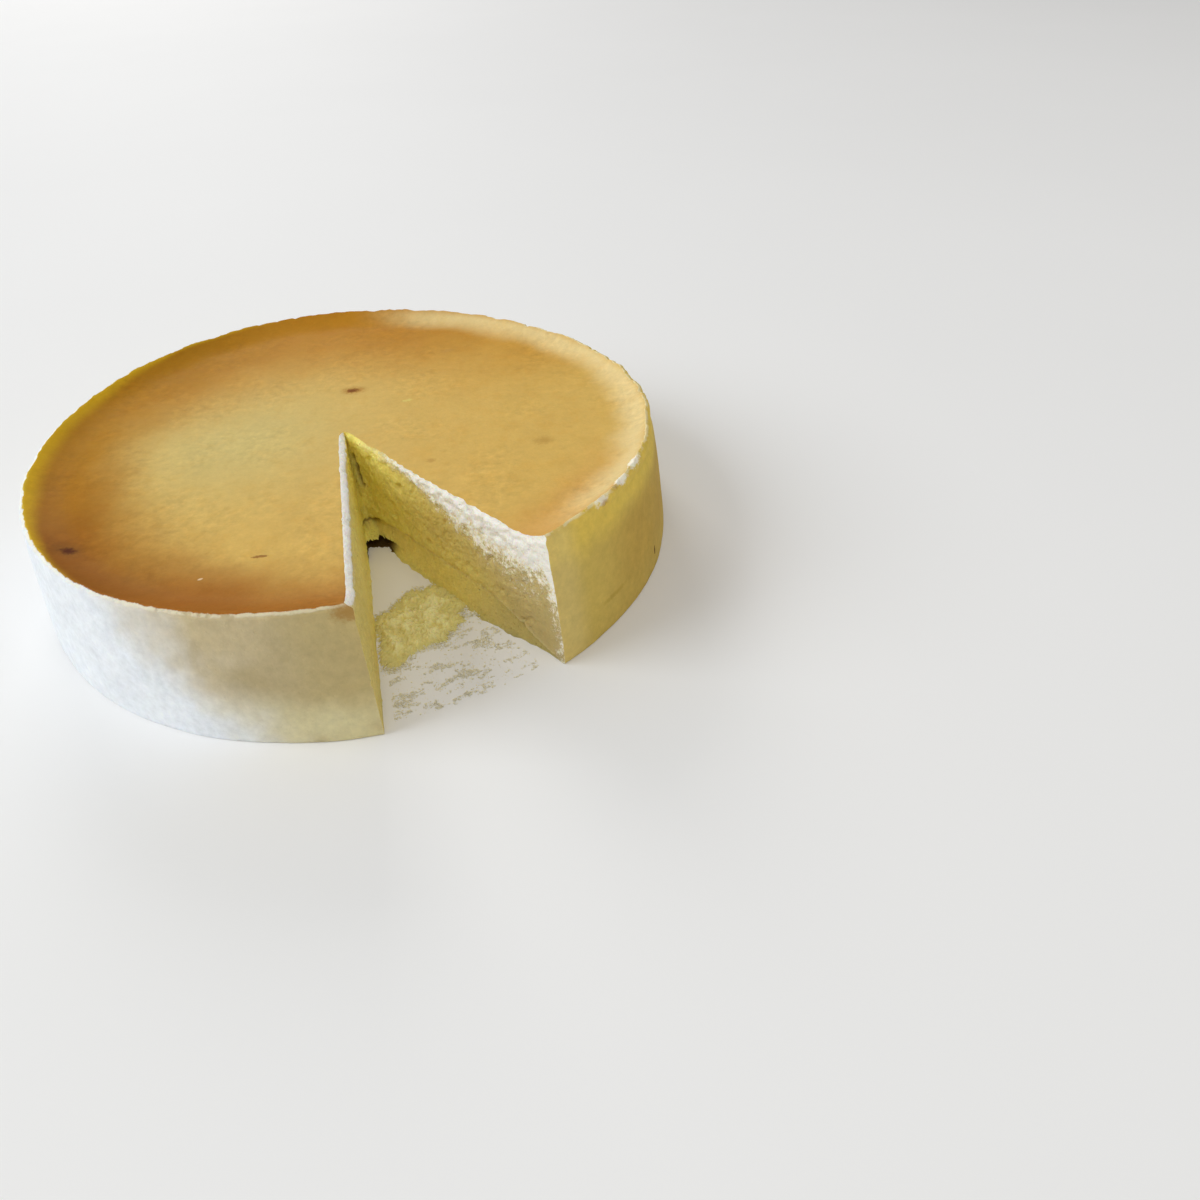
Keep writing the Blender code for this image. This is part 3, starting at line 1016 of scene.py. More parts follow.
@dataclass
class CakeBody:
    """The whole cake: browned top, side, flat base and both faces of the cut."""

    form: CakeForm
    cut: SliceCut
    columns: int = 540
    reach_steps: int = 168
    rise_steps: int = 76

    # Tones of the top, with a painted sheen and a painted highlight inside the right rim
    golden: Colour = (0.67, 0.435, 0.115)
    painted_sheen_gold: Colour = (0.63, 0.495, 0.180)
    mustard: Colour = (0.70, 0.44, 0.020)
    lemon: Colour = (0.84, 0.70, 0.10)
    cream_and_highlight: Colour = (0.80, 0.62, 0.29)

    # Tones of the side, mostly painted light and shade: a lit left side, a shaded front and right
    ivory_painted_lit: Colour = (0.87, 0.91, 0.95)
    khaki_painted_shade: Colour = (0.59, 0.490, 0.295)
    khaki_near_painted_shade: Colour = (0.55, 0.445, 0.225)
    khaki_deep: Colour = (0.45, 0.36, 0.19)
    khaki_low: Colour = (0.78, 0.72, 0.44)
    butter_painted_shade: Colour = (0.64, 0.470, 0.118)
    butter_light_painted_shade: Colour = (0.79, 0.575, 0.115)
    butter_deep_painted_shade: Colour = (0.56, 0.360, 0.080)
    butter_edge: Colour = (0.76, 0.61, 0.26)
    cream_back: Colour = (0.82, 0.73, 0.46)

    # Tones of the cut: the crumb in painted shade, lightened where the gap is deeper in shade, with
    # painted shade in the cracks and painted shadow in the hollow
    crumb: Colour = (0.66, 0.50, 0.135)
    crumb_low_painted_light: Colour = (0.92, 0.76, 0.22)
    crumb_inner_painted_light: Colour = (1.00, 0.86, 0.21)
    crumb_outer_painted_shade: Colour = (0.56, 0.43, 0.17)
    crumb_left_painted_light: Colour = (1.00, 0.85, 0.28)
    crumb_pale_and_highlight: Colour = (0.90, 0.76, 0.42)
    foot_yellow: Colour = (0.84, 0.68, 0.18)
    foot_outer_painted_shade: Colour = (0.52, 0.41, 0.13)
    crack_painted_shade: Colour = (0.17, 0.09, 0.012)
    hollow_painted_shadow: Colour = (0.075, 0.038, 0.006)

    def outer_distance(self, direction: np.ndarray, share: np.ndarray) -> np.ndarray:
        """Distance from the tip of the cut to the outside of the cake.

        Args:
            direction: Directions in plan, in radians.
            share: Share of the rim's height.

        Returns:
            Distances, found by stepping out to the side's radius a few times.
        """
        reach = np.full(np.broadcast(direction, share).shape, self.form.base_radius)
        for _ in range(4):
            x = self.cut.apex[0] + reach * np.cos(direction)
            y = self.cut.apex[1] + reach * np.sin(direction)
            reach = reach + self.form.side_radius(np.arctan2(y, x), share) - np.hypot(x, y)
        return reach

    def plan(self, direction: np.ndarray, distance: np.ndarray) -> tuple[np.ndarray, np.ndarray]:
        """Point in plan at a direction and distance from the tip of the cut."""
        return (self.cut.apex[0] + distance * np.cos(direction),
                self.cut.apex[1] + distance * np.sin(direction))

    def reach_shares(self) -> np.ndarray:
        """Shares of the way from the tip to the rim, closer together near the rim."""
        index = np.arange(self.reach_steps + 1)
        return np.interp(index, (0, 126, self.reach_steps), (0.0, 0.905, 1.0))

    def rise_shares(self) -> np.ndarray:
        """Shares of the height, closer together at the underside of the lump and at the rim."""
        index = np.arange(self.rise_steps + 1)
        return np.interp(index, (0, 1, 2, 6, 12, 64, self.rise_steps),
                         (0.0, 0.004, 0.009, 0.052, 0.076, 0.90, 1.0))

    def wall(self, right: bool) -> np.ndarray:
        """Points of one cut face.

        Args:
            right: Whether it is the right face.

        Returns:
            Grid of points, from the tip outwards and from the base upwards.
        """
        reach = self.reach_shares()[:, None]
        rise = self.rise_shares()[None, :]
        face = math.radians(self.cut.right_deg if right else self.cut.left_deg)
        flat = reach * self.outer_distance(face + 0.0 * reach * rise, rise + 0.0 * reach)
        x, y = self.plan(face, flat[:, -1:])
        depth = self.cut.depth(flat, rise * self.form.top_height(x, y), rise + 0.0 * reach, right)
        swing = np.arctan2(depth, np.maximum(flat, 1e-6)) * (1.0 if right else -1.0)
        direction = face + swing
        distance = reach * self.outer_distance(direction, rise + 0.0 * reach)
        x, y = self.plan(direction, distance)
        height = rise * self.form.top_height(x[:, -1:], y[:, -1:])
        shift = self.cut.lump_shift(flat if right else -flat, height)
        x = x + shift * math.cos(self.cut.middle)
        y = y + shift * math.sin(self.cut.middle)
        return np.stack([x, y, height], axis=-1)

    def along_wall(self, right: bool) -> np.ndarray:
        """Distance from the tip of each point of a cut face, measured along its flat plan.

        Args:
            right: Whether it is the right face.

        Returns:
            Distances, in the shape of the face's grid.
        """
        face = math.radians(self.cut.right_deg if right else self.cut.left_deg)
        reach = self.reach_shares()[:, None] * self.outer_distance(face, np.ones((1, 1)))
        return np.repeat(reach, self.rise_steps + 1, axis=1)

    def fan(self, right_end: np.ndarray, left_end: np.ndarray) -> np.ndarray:
        """Directions from the tip between the ends of the two cut faces.

        Args:
            right_end: Points at the end of the right face.
            left_end: As many points at the end of the left face.

        Returns:
            One row of evenly stepped directions per point, without the ends themselves.
        """
        first = np.arctan2(right_end[:, 1] - self.cut.apex[1], right_end[:, 0] - self.cut.apex[0])
        last = np.arctan2(left_end[:, 1] - self.cut.apex[1], left_end[:, 0] - self.cut.apex[0])
        last = last + 2.0 * math.pi
        step = np.arange(1, self.columns)[None, :] / self.columns
        return first[:, None] + (last - first)[:, None] * step

    def build(self) -> bpy.types.Object:
        """Build and dress the cake.

        Returns:
            The piece that stands for the node cake.
        """
        surface = Surface()
        points = self.wall(True)
        right = CutFace(points, surface.add(points))
        points = self.wall(False)
        left = CutFace(points, np.concatenate([right.numbers[:1], surface.add(points[1:])]))
        crest = self._top(surface, right, left)
        bottom = self._side(surface, right, left, crest)
        surface.grid(right.numbers, Face.CUT)
        surface.grid(left.numbers, Face.CUT, flip=True)
        cap = np.concatenate([right.numbers[:, 0], bottom, left.numbers[:0:-1, 0]])
        mesh = surface.mesh("cake_body", cap[::-1])
        self._tones(mesh, surface.all_points(), right.numbers.size)
        piece = place_piece(mesh, "cake")
        mesh.materials.append(BrownedSkin(marks=MARKS).material())
        mesh.materials.append(CutCrumb().material())
        return piece

    def _top(self, surface: Surface, right: CutFace, left: CutFace) -> np.ndarray:
        """Cover the top with half as many rings as the cut faces have columns.

        Args:
            surface: Surface to add to.
            right: The right face.
            left: The left face.

        Returns:
            Vertex numbers of its outermost ring.
        """
        shares = self.reach_shares()[2::2, None]
        direction = self.fan(right.points[2::2, -1], left.points[2::2, -1])
        x, y = self.plan(direction, shares * self.outer_distance(direction, np.ones_like(direction)))
        inner = surface.add(np.stack([x, y, self.form.top_height(x, y)], axis=-1))
        tip = np.full((1, inner.shape[1]), right.numbers[0, -1])
        inner = np.concatenate([tip, inner])
        surface.grid(inner, Face.SKIN)
        surface.seam(right.numbers[:, -1], inner[:, 0], Face.SKIN)
        surface.seam(left.numbers[:, -1], inner[:, -1], Face.SKIN, flip=True)
        return inner[-1]

    def _side(self, surface: Surface, right: CutFace, left: CutFace,
              crest: np.ndarray) -> np.ndarray:
        """Cover the side with half as many rings as the cut faces have rows.

        Args:
            surface: Surface to add to.
            right: The right face.
            left: The left face.
            crest: Vertex numbers of the top's outermost ring.

        Returns:
            Vertex numbers of its lowest ring.
        """
        shares = self.rise_shares()[:-1:2, None]
        direction = self.fan(right.points[-1, :-1:2], left.points[-1, :-1:2])
        x, y = self.plan(direction, self.outer_distance(direction, shares + 0.0 * direction))
        rim_x, rim_y = surface.all_points()[crest, 0], surface.all_points()[crest, 1]
        height = shares * self.form.top_height(rim_x, rim_y)[None, :]
        rings = surface.add(np.stack([x, y, height], axis=-1))
        rings = np.concatenate([rings, crest[None, :]])
        surface.grid(rings, Face.SKIN, flip=True)
        surface.seam(right.numbers[-1], rings[:, 0], Face.SKIN, flip=True)
        surface.seam(left.numbers[-1], rings[:, -1], Face.SKIN)
        return rings[0]

    def _tones(self, mesh: bpy.types.Mesh, points: np.ndarray, right_count: int) -> None:
        """Write the attributes that the finishes read.

        Args:
            mesh: Mesh of the cake.
            points: Its points: those of the right face first, then those of the left face.
            right_count: How many points the right face has.
        """
        x, y, z = points.T
        angle = np.arctan2(y, x)
        inward = self.form.inward(x, y)
        below = self.form.top_height(x, y) - z
        outside = (below > 0.03 * MM) & (inward < 3.0 * MM)
        crest = self.form.side_radius(angle, np.ones_like(angle))
        from_rim = np.where(outside, -below, np.maximum(crest - np.hypot(x, y), 0.0))
        pale_crest = 0.6 * sector(angle, -10.0, 60.0, 20.0) + 0.1 * sector(angle, 175.0, 32.0, 20.0)
        walls = np.concatenate([self.along_wall(True).ravel(), self.along_wall(False)[1:].ravel()])
        along = np.zeros(len(points))
        along[:len(walls)] = walls
        on_right = np.arange(len(points)) < right_count
        store(mesh, "from_rim", from_rim / MM - pale_crest)
        store(mesh, "fluffy_and_lit", self.cut.whiteness_dry_and_lit(along, z, below, on_right))
        store(mesh, "top_tone", self.top_tone(x, y, angle, inward))
        store(mesh, "side_tone", self.side_tone(points, angle))
        store(mesh, "cut_tone", self.cut_tone(points, along, on_right))

    def top_tone(self, x: np.ndarray, y: np.ndarray, angle: np.ndarray,
                 inward: np.ndarray) -> np.ndarray:
        """Large-scale colour of the browned top.

        Args:
            x: Positions across.
            y: Positions along.
            angle: Angles round the cake.
            inward: Distances in from the rim.

        Returns:
            Golden in the middle with a painted sheen left of it, browner towards the left and the rim,
            and a pale painted highlight on the rounded shoulder inside the right rim.
        """
        drift = self.form.noise.layers(sheet(x, y) / (26.0 * MM), 3) * 4.0 * MM
        away = np.maximum(inward + drift * smooth_step(0.0, 14.0 * MM, inward), 0.0)
        # Painted sheen: a pale patch left of the middle stands in for the reflection of the light on
        # the top.
        painted_sheen = hill(x, -45.0 * MM, 44.0 * MM) * hill(y, -4.0 * MM, 46.0 * MM)
        tone = blend(paint(self.golden, len(x)), self.painted_sheen_gold, painted_sheen)
        for zone in BROWNING:
            tone = blend(tone, zone.tone, zone.share(angle, away))
        # Painted highlight: the pale band inside the right rim stands in for light on its rounded
        # shoulder.
        pale = smooth_step(-1.0 * MM, 4.0 * MM, away) * fall(4.0 * MM, 18.0 * MM, away)
        tone = blend(tone, self.cream_and_highlight, 0.95 * pale * sector(angle, 25.0, 50.0, 26.0))
        width = 3.4 * MM + 4.8 * MM * sector(angle, 184.0, 14.0, 34.0)
        yellow = fall(0.12, 1.0, (inward + 0.12 * drift) / width)
        left = sector(angle, 174.0, 42.0, 22.0)
        tone = blend(tone, self.mustard, 0.95 * yellow * left)
        return blend(tone, self.lemon, 0.8 * left * fall(0.0, 2.2 * MM, inward))

    def side_tone(self, points: np.ndarray, angle: np.ndarray) -> np.ndarray:
        """Large-scale colour of the side.

        Args:
            points: Positions.
            angle: Angles round the cake.

        Returns:
            Painted light and shade: bluish ivory where the left side is lit, khaki shade in patches
            towards the cut, butter-yellow shade on the right, cream at the back.
        """
        height = points[:, 2]
        degrees = np.degrees(angle)
        drift = self.form.noise.layers(points / (20.0 * MM), 3)
        patch = self.form.noise.layers(points / (12.0 * MM) + 4.0, 3)
        # Painted light: the bluish ivory stands in for the cool light falling on the left side.
        tone = paint(self.ivory_painted_lit, len(points))
        raised = 9.0 * (height / MM - 24.0) / 24.0
        # Painted shade: khaki on the front, which faces away from the light.
        front = smooth_step(-115.5, -92.5, degrees + 5.0 * drift + raised) * (degrees < 0.0)
        tone = blend(tone, self.khaki_painted_shade, front)
        tone = blend(tone, self.khaki_near_painted_shade, smooth_step(-96.0, -85.0, degrees) * front)
        low = fall(6.0 * MM, 26.0 * MM, height + 7.0 * MM * drift)
        tone = blend(tone, self.khaki_low, 0.8 * low * front)
        spot = hill(degrees, -96.0, 5.0) * hill(height, 26.0 * MM, 9.0 * MM)
        stained = np.maximum(spot, 0.6 * smooth_step(0.25, 0.7, patch) * front)
        tone = blend(tone, self.khaki_deep, 0.7 * stained)
        tone = blend(tone, self.cream_back, sector(angle, 100.0, 42.0, 34.0))
        # Painted shade: butter yellow on the right side, lighter high up and deeper in a band lower
        # down.
        right = sector(angle, -5.0, 42.0, 44.0)
        butter_painted_shade = blend(paint(self.butter_painted_shade, len(points)), self.butter_light_painted_shade,
                       smooth_step(33.0 * MM, 45.0 * MM, height + 3.0 * MM * drift))
        deep = sector(angle, -15.0, 10.0, 16.0) * fall(34.0 * MM, 44.0 * MM, height)
        deep = deep * (0.45 + 0.55 * smooth_step(4.0 * MM, 20.0 * MM, height))
        butter_painted_shade = blend(butter_painted_shade, self.butter_deep_painted_shade, 0.8 * deep)
        butter_painted_shade = blend(butter_painted_shade, self.butter_edge, 0.45 * sector(angle, -47.5, 2.0, 5.0))
        return tone + (butter_painted_shade - tone) * right[:, None]

    def cut_tone(self, points: np.ndarray, along: np.ndarray, on_right: np.ndarray) -> np.ndarray:
        """Large-scale colour of the cut faces.

        Args:
            points: Positions.
            along: Distances from the tip along the flat face.
            on_right: Whether each point lies on the right face.

        Returns:
            Yellow crumb in painted shade: deeper yellow and lighter in the tip, low down and on the
                left face
            as painted light against the gap's shade, darker outwards as painted shade, paler where it
            is dry, with painted shadow in the hollow and painted shade in the cracks.
        """
        x, y, z = points.T
        below = self.form.top_height(x, y) - z
        drift = self.cut.noise.layers(points / (6.0 * MM), 3)
        inner = fall(12.0 * MM, 60.0 * MM, along)
        outer = smooth_step(55.0 * MM, 105.0 * MM, along)
        # Painted shade: the yellow is the cream crumb's colour in the gap's shade; below, tones are
        # lightened where the gap lies deeper in shade and darkened towards the outer end.
        tone = paint(self.crumb, len(points))
        tone = blend(tone, self.crumb_outer_painted_shade, outer * on_right)
        tone = blend(tone, self.crumb_left_painted_light, np.where(on_right, 0.0, 1.0 - 0.55 * outer))
        crease = np.maximum(self.cut.crease_height(along), 0.1 * MM)
        low = fall(3.0 * MM, 15.0 * MM, z - crease + 3.0 * MM * drift)
        tone = blend(tone, self.crumb_low_painted_light, 0.8 * low * on_right * (1.0 - outer))
        tone = blend(tone, self.crumb_inner_painted_light, inner)
        foot = on_right * smooth_step(0.0, 0.1, 1.0 - z / crease)
        tone = blend(tone, self.foot_yellow, 0.85 * foot * (1.0 - outer))
        tone = blend(tone, self.foot_outer_painted_shade, 0.85 * foot * outer)
        # Painted highlight: a pale line along the upper edge of the foot, where light catches it.
        ridge_highlight = hill(z - crease, -0.9 * MM, 0.8 * MM) * on_right
        tone = blend(tone, self.crumb_pale_and_highlight, 0.40 * ridge_highlight * smooth_step(14.0 * MM, 26.0 * MM, along))
        # Dry crumb, partly painted highlight where the upper edges catch the light.
        dry_and_lit = np.maximum(self.cut.whiteness_dry_and_lit(along, z, below - 2.0 * MM, on_right),
                         self.cut.torn_band(along, below) * on_right)
        tone = blend(tone, self.crumb_pale_and_highlight, 0.45 * dry_and_lit)
        tear_groove_shade = self.cut.tear(along, z) / self.cut.tear_depth
        slit = self.cut.tip_crack(along, z, True) / self.cut.crack_depth * on_right
        # Painted shadow: the hollow under the lump and the sheet on its floor are painted near black.
        under = fall(self.cut.lump_underside - 0.2 * MM, self.cut.lump_underside + 0.5 * MM, z)
        under = under * fall(22.0 * MM, 30.0 * MM, along)
        # Painted shade in the tear groove and the slit.
        tone = blend(tone, self.crack_painted_shade, np.clip(0.8 * tear_groove_shade + slit, 0.0, 1.0))
        return blend(tone, self.hollow_painted_shadow, under)


@dataclass
class Smear:
    """The thin layer of cake left lying in the gap."""

    noise: LatticeNoise
    thickness: float = 2.0 * MM
    rings: int = 70
    spokes: int = 420
    outline: tuple[tuple[float, float], ...] = (
        (12.0, -61.4), (15.8, -60.7), (18.0, -55.6), (20.4, -50.5), (24.6, -46.4), (27.9, -47.4),
        (32.4, -43.4), (39.4, -49.8), (46.0, -57.2), (43.6, -62.8), (45.8, -67.0), (41.4, -73.6),
        (39.8, -78.4), (35.2, -79.9), (29.2, -83.3), (26.1, -88.6), (23.6, -92.1), (19.4, -91.8),
        (15.8, -77.0),
    )
    centre: tuple[float, float] = (29.2, -67.0)
    tone: Colour = (0.84, 0.72, 0.28)
    tone_pale: Colour = (0.98, 0.90, 0.46)

    def build(self) -> bpy.types.Object:
        """Build and dress the smear.

        Returns:
            The piece that stands for the node base_smear.
        """
        corners = np.array(self.outline) * MM
        middle = np.array(self.centre) * MM
        turn = np.arctan2(*(corners - middle).T[::-1])
        order = np.argsort(turn)
        reach = np.linalg.norm(corners - middle, axis=1)[order]
        turn = turn[order]
        angle = np.linspace(-math.pi, math.pi, self.spokes, endpoint=False)
        radius = np.interp(angle, turn, reach, period=2.0 * math.pi)
        ring = np.stack([np.cos(angle), np.sin(angle)], axis=-1)
        jag = self.noise.layers(np.concatenate([ring * 7.0, ring[:, :1] * 0.0], axis=1), 5, 0.85)
        share = np.sin(np.linspace(0.5 * math.pi, 0.0, self.rings))[:, None]
        spread = share[:-1] * (1.0 + (0.04 - 0.17 * np.abs(jag)) * share[:-1] ** 9)
        place = middle + ring * (radius * spread)[..., None]
        x, y = place[..., 0], place[..., 1]
        flat = sheet(x, y)
        curds = 0.55 - self.noise.cells(flat / (1.5 * MM))
        lumps = self.noise.layers(flat / (6.0 * MM), 3, 0.6)
        fine = self.noise.layers(flat / (1.2 * MM), 2, 0.6)
        dome = (1.0 - share[:-1] ** 5) ** 0.8
        height = self.thickness * (0.66 + 0.50 * curds + 0.70 * lumps + 0.22 * fine)
        height = np.maximum(height, 0.30 * MM) * dome + 0.10 * MM
        surface = Surface()
        top = surface.add(np.stack([x, y, height], axis=-1))
        edge = surface.add(np.stack([x[0], y[0], 0.0 * x[0]], axis=-1)[None])
        pole = surface.add(np.array([[[*middle, float(height[-1].mean())]]]))
        rows = np.concatenate([edge, top, np.repeat(pole, self.spokes, axis=1)])
        closed = np.concatenate([rows, rows[:, :1]], axis=1)
        surface.grid(closed, Face.SKIN, flip=True)
        mesh = surface.mesh("base_smear_crumb", edge[0][::-1])
        points = surface.all_points()
        pale = smooth_step(0.4, 1.2, points[:, 2] / self.thickness)
        store(mesh, "cut_tone", blend(paint(self.tone, len(points)), self.tone_pale, pale))
        piece = place_piece(mesh, "base_smear")
        mesh.materials.append(CutCrumb("smear_crumb", 0.2).material())
        return piece


@dataclass
class LooseCrumbs:
    """Crumbs and thin streaks of cake scattered over the floor of the gap."""

    cut: SliceCut
    smear: Smear
    noise: LatticeNoise
    count: int = 4400
    edge_count: int = 1500
    seed: int = 7
    streak_deg: float = 24.0
    tone: Colour = (0.92, 0.85, 0.62)

    def spots(self) -> tuple[np.ndarray, np.ndarray]:
        """Where crumbs lie and how large they are.

        Returns:
            Positions in plan and radii: more of them along the two streaks near the mouth.
        """
        generator = np.random.default_rng(self.seed)
        along = generator.uniform(66.0 * MM, 121.0 * MM, self.count * 8)
        turn = np.radians(generator.uniform(self.cut.left_deg - 358.2, self.cut.right_deg - 2.5,
                                            self.count * 8))
        place = np.stack([self.cut.apex[0] + along * np.cos(turn),
                          self.cut.apex[1] + along * np.sin(turn)], axis=-1)
        lean = math.radians(self.streak_deg)
        length = place[:, 0] * math.cos(lean) + place[:, 1] * math.sin(lean)
        across = place[:, 1] * math.cos(lean) - place[:, 0] * math.sin(lean)
        stretched = sheet(length / (13.0 * MM), across / (7.0 * MM))
        chance = smooth_step(0.05, 0.75, self.noise.layers(stretched, 4, 0.75)) + 0.02
        chance = chance * smooth_step(66.0 * MM, 84.0 * MM, along)
        kept = generator.uniform(0.0, 1.0, len(place)) < chance
        radius = 0.13 * MM + 0.28 * MM * generator.power(0.5, len(place)) ** 2
        edge = np.array(self.smear.outline) * MM
        share = generator.uniform(0.0, len(edge), self.edge_count)
        first = share.astype(int)
        rest = (share - first)[:, None]
        border = edge[first] * (1.0 - rest) + edge[(first + 1) % len(edge)] * rest
        border = border + generator.normal(0.0, 1.1 * MM, border.shape)
        size = 0.14 * MM + 0.34 * MM * generator.power(0.5, len(border)) ** 2
        return (np.concatenate([place[kept][:self.count], border]),
                np.concatenate([radius[kept][:self.count], size]))

    def build(self) -> bpy.types.Object:
        """Build and dress the crumbs as one mesh of small lumps.

        Returns:
            The piece.
        """
        place, radius = self.spots()
        rows, columns = 3, 6
        lat = np.linspace(0.5 * math.pi, -0.5 * math.pi, rows + 1)[1:-1, None]
        lon = np.linspace(0.0, 2.0 * math.pi, columns, endpoint=False)[None, :]
        unit = np.stack([np.cos(lat) * np.cos(lon), np.cos(lat) * np.sin(lon),
                         np.sin(lat) + 0.0 * lon], axis=-1).reshape(-1, 3)
        unit = np.concatenate([[[0.0, 0.0, 1.0]], unit, [[0.0, 0.0, -1.0]]])
        generator = np.random.default_rng(self.seed + 1)
        squash = generator.uniform((0.9, 0.7, 0.35), (1.6, 1.2, 0.75), (len(place), 3))
        jitter = generator.uniform(0.78, 1.22, (len(place), len(unit), 1))
        turn = generator.normal(0.45, 0.5, len(place))
        local = unit[None] * jitter * squash[:, None, :] * radius[:, None, None]
        cos, sin = np.cos(turn)[:, None], np.sin(turn)[:, None]
        x = place[:, :1] + local[..., 0] * cos - local[..., 1] * sin
        y = place[:, 1:] + local[..., 0] * sin + local[..., 1] * cos
        z = local[..., 2] - local[..., 2].min(axis=1, keepdims=True)
        points = np.stack([x, y, z], axis=-1)
        faces = self._faces(rows, columns)
        shift = np.arange(len(place))[:, None, None] * len(unit)
        every = (faces[None] + shift).reshape(-1, 3)
        mesh = bpy.data.meshes.new("loose_crumbs")
        mesh.from_pydata(points.reshape(-1, 3).tolist(), [], every.tolist())
        store(mesh, "cut_tone", paint(self.tone, len(mesh.vertices)))
        piece = place_piece(mesh, None)
        mesh.materials.append(CutCrumb("loose_crumb", 0.1).material())
        return piece

    @staticmethod
    def _faces(rows: int, columns: int) -> np.ndarray:
        """Triangles of one small ball: two fans and the bands between them.

        Args:
            rows: Bands from pole to pole.
            columns: Corners of each ring.

        Returns:
            Vertex numbers, three a row, the poles being the first and the last.
        """
        ring = np.arange(columns)
        after = (ring + 1) % columns
        bands = []
        for row in range(rows - 2):
            a, b = 1 + row * columns + ring, 1 + row * columns + after
            c, d = a + columns, b + columns
            bands += [np.stack([a, c, d], 1), np.stack([a, d, b], 1)]
        last = 1 + (rows - 2) * columns
        bands.append(np.stack([0 * ring, 1 + ring, 1 + after], 1))
        bottom = (rows - 1) * columns + 1
        bands.append(np.stack([0 * ring + bottom, last + after, last + ring], 1))
        return np.concatenate(bands)


@dataclass(frozen=True)
class Studio:
    """Pale floor, soft lights and the camera."""

    floor_width: float = 24.0
    floor_colour: Colour = (0.88, 0.88, 0.885)
    camera_place: tuple[float, float, float] = (0.09636, -0.33160, 0.22468)
    look_down_deg: float = 39.44
    roll_deg: float = -2.646
    lens_mm: float = 27.93
    sensor_mm: float = 36.0
    aim: tuple[float, float, float] = (0.0, 0.0, 0.03)

    def build(self) -> None:
        """Set up the floor, the lights and the camera."""
        self._floor()
        self._light("window_left", (-2.9, -0.45, 2.2), 2.4, 76.0, (0.93, 0.97, 1.0))
        self._light("window_back", (-1.2, 3.4, 1.9), 1.5, 38.0, (1.0, 0.99, 0.97))
        self._light("room_front", (0.9, -1.75, 3.1), 2.6, 34.0, (1.0, 0.97, 0.90))
        self._sky((1.0, 0.985, 0.96), 0.34)
        self._camera()
        bpy.context.scene.view_settings.view_transform = "Standard"

    def _floor(self) -> None:
        """A wide, flat, pale floor at the height the cake stands on."""
        half = 0.5 * self.floor_width
        mesh = bpy.data.meshes.new("floor")
        mesh.from_pydata([(-half, -half, 0.0), (half, -half, 0.0), (half, half, 0.0),
                          (-half, half, 0.0)], [], [(0, 1, 2, 3)])
        floor = bpy.data.objects.new("floor", mesh)
        bpy.context.collection.objects.link(floor)
        graph = Graph("floor_paper")
        grain = graph.noise(0.4, 3.0) * 0.04 + 0.98
        colour = graph.lighten(self.floor_colour, grain)
        normal = graph.bump(graph.noise(3.0 * MM), 0.02 * MM, 0.1)
        mesh.materials.append(graph.finish(colour, 0.7, normal, 0.0, (MM, MM, MM)))

    def _light(self, name: str, place: tuple[float, float, float], size: float, power: float,
               colour: Colour) -> None:
        """A square soft light aimed at the cake.

        Args:
            name: Name of the light.
            place: Where it stands.
            size: Length of its sides.
            power: Power in watts.
            colour: Colour.
        """
        lamp = bpy.data.lights.new(name, "AREA")
        lamp.size = size
        lamp.energy = power
        lamp.color = colour
        light = bpy.data.objects.new(name, lamp)
        light.location = place
        toward = Vector(self.aim) - Vector(place)
        light.rotation_euler = toward.to_track_quat("-Z", "Y").to_euler()
        bpy.context.collection.objects.link(light)

    def _sky(self, colour: Colour, strength: float) -> None:
        """Even light from all round.

        Args:
            colour: Colour.
            strength: Strength.
        """
        world = bpy.data.worlds.new("studio_air")
        world.use_nodes = True
        background = world.node_tree.nodes["Background"]
        background.inputs["Color"].default_value = (*colour, 1.0)
        background.inputs["Strength"].default_value = strength
        bpy.context.scene.world = world

    def _camera(self) -> None:
        """The camera, placed and turned as the photograph was taken."""
        lens = bpy.data.cameras.new("camera")
        lens.lens = self.lens_mm
        lens.sensor_width = self.sensor_mm
        lens.clip_start = 0.01
        camera = bpy.data.objects.new("camera", lens)
        tilt = Matrix.Rotation(math.radians(90.0 - self.look_down_deg), 4, "X")
        roll = Matrix.Rotation(math.radians(self.roll_deg), 4, "Z")
        camera.matrix_world = Matrix.Translation(self.camera_place) @ tilt @ roll
        bpy.context.collection.objects.link(camera)
        bpy.context.scene.camera = camera


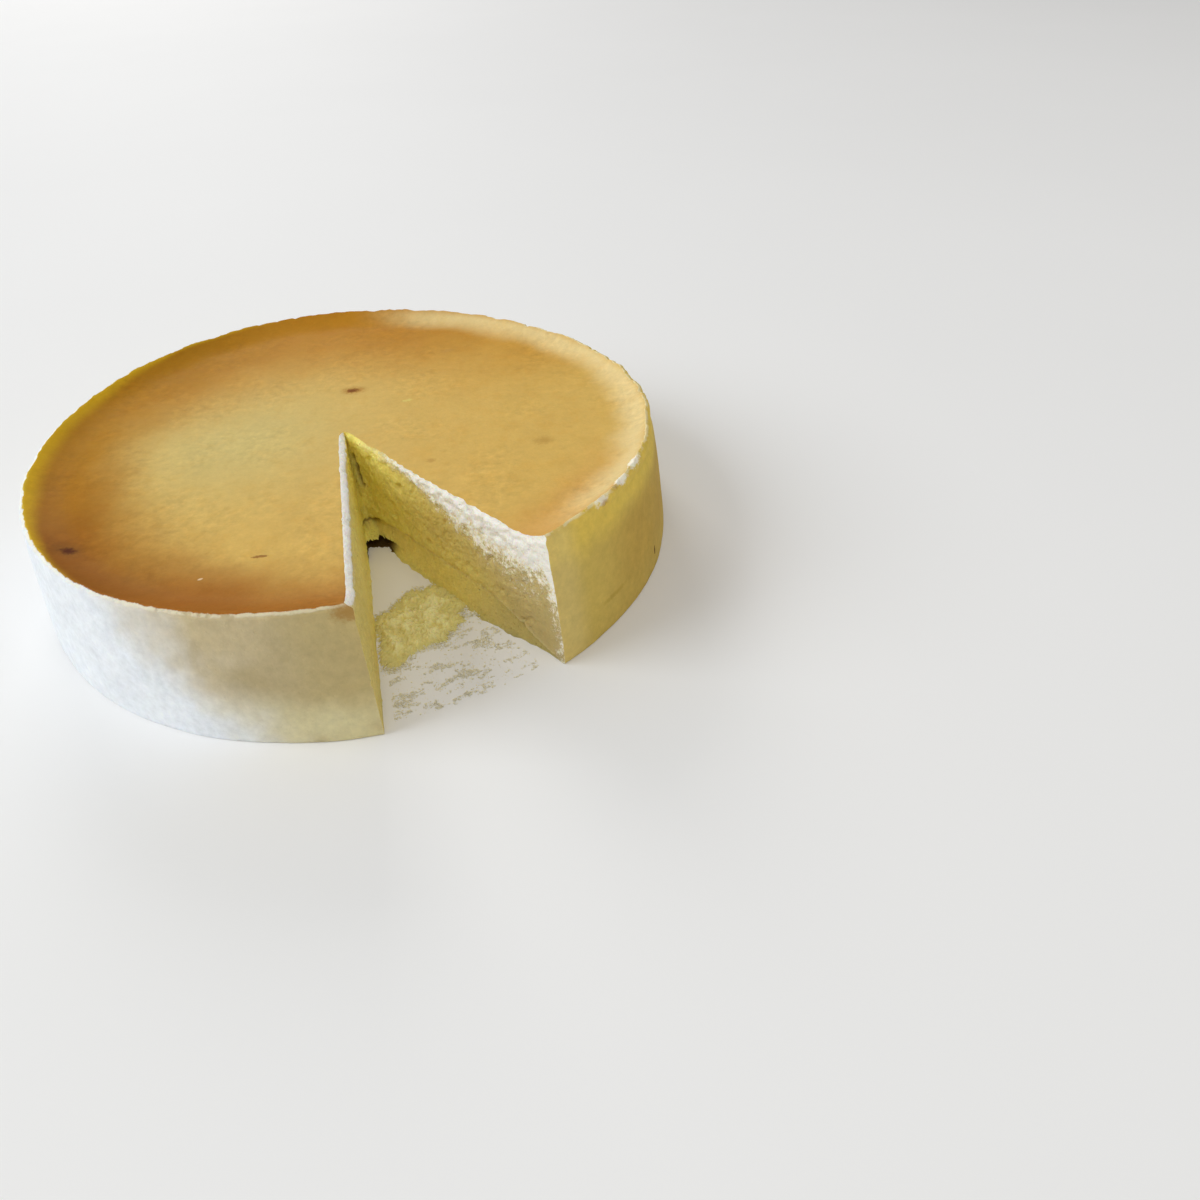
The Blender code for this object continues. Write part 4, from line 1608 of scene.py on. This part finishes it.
MARKS: tuple[Mark, ...] = (
    Mark(-5.2, 37.0, 45, 4.0, 2.6, 8.0, (0.38, 0.15, 0.01), 0.80, softness=0.8),
    Mark(-5.4, 37.0, 45, 2.2, 1.5, 8.0, (0.20, 0.06, 0.005), 0.95, softness=0.5),
    Mark(-81.6, -74.4, 47, 5.6, 3.4, -20.0, (0.22, 0.085, 0.010), 0.75, softness=0.8),
    Mark(-81.0, -75.0, 47, 2.4, 1.8, -20.0, (0.08, 0.012, 0.000), 0.90, softness=0.6),
    Mark(-14.3, -83.4, 45, 2.4, 0.8, 4.0, (0.28, 0.12, 0.03), 0.8),
    Mark(-30.7, -94.4, 46, 0.8, 0.5, 20.0, (0.80, 0.62, 0.38), 0.8),
    Mark(19.5, 25.9, 45, 2.2, 1.0, 25.0, (0.72, 0.60, 0.16), 0.7),
    Mark(35.3, -26.4, 45, 1.6, 1.4, 0.0, (0.45, 0.24, 0.06), 0.5, softness=0.6),
    Mark(77.3, -15.3, 45, 3.4, 2.8, 10.0, (0.42, 0.23, 0.05), 0.5, softness=0.8),
    Mark(31.5, 74.9, 45, 3.0, 1.6, 30.0, (0.50, 0.27, 0.07), 0.4, softness=0.6),
    Mark(98.6, -67.6, 51, 3.4, 1.0, 54.0, (1.0, 0.94, 0.76), 0.9, 2, softness=0.3),
    # Painted shadow under the white chip, partly a brown speck beside it.
    Mark(99.4, -67.6, 50, 2.0, 0.7, 54.0, (0.42, 0.22, 0.04), 0.6, 1, softness=0.5),
    Mark(105.6, -55.2, 51, 4.0, 1.4, 60.0, (1.0, 0.95, 0.80), 0.95, 2, softness=0.3),
    # Painted shadow under the white chip, partly a brown speck beside it.
    Mark(103.0, -60.4, 51, 1.6, 0.9, 60.0, (0.46, 0.26, 0.05), 0.6, 1, softness=0.5),
    Mark(110.6, -42.8, 50, 4.6, 1.5, 68.0, (1.0, 0.95, 0.80), 0.95, 2, softness=0.3),
    Mark(22.0, -117.6, 49, 5.0, 4.0, 10.0, (0.42, 0.22, 0.05), 0.75, 3, softness=0.6),
    # Painted shade in a thin crack at the foot of the left cut's outer corner.
    Mark(25.1, -122.2, 5, 0.5, 0.7, 12.0, (0.22, 0.13, 0.04), 0.8, 6),
    # Painted shade of a small pit in the right side.
    Mark(118.4, -38.5, 8, 0.8, 1.2, 72.0, (0.10, 0.04, 0.01), 0.9, 2),
    # Painted shade along fine creases low on the right side.
    Mark(102.1, -71.5, 13, 7.0, 3.0, 55.0, (0.44, 0.29, 0.05), 0.5, 1, softness=0.6),
)


def main() -> None:
    """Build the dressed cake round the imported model, with its studio."""
    logging.basicConfig(level=logging.INFO, format="%(message)s")
    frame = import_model()
    LOG.info("model loaded: %d nodes", len(frame["nodes"]))
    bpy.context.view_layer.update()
    low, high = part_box("cake")
    form = CakeForm(base_radius=0.5 * (high[0] - low[0]), flat_height=high[2] - RIM_OVER_FLAT)
    cut = SliceCut()
    smear = Smear(LatticeNoise(31))
    pieces = (
        CakeBody(form, cut).build(),
        smear.build(),
        LooseCrumbs(cut, smear, LatticeNoise(47)).build(),
    )
    for piece in pieces:
        LOG.info("%s: %d faces", piece.name, len(piece.data.polygons))
    Studio().build()


if __name__ == "__main__":
    main()
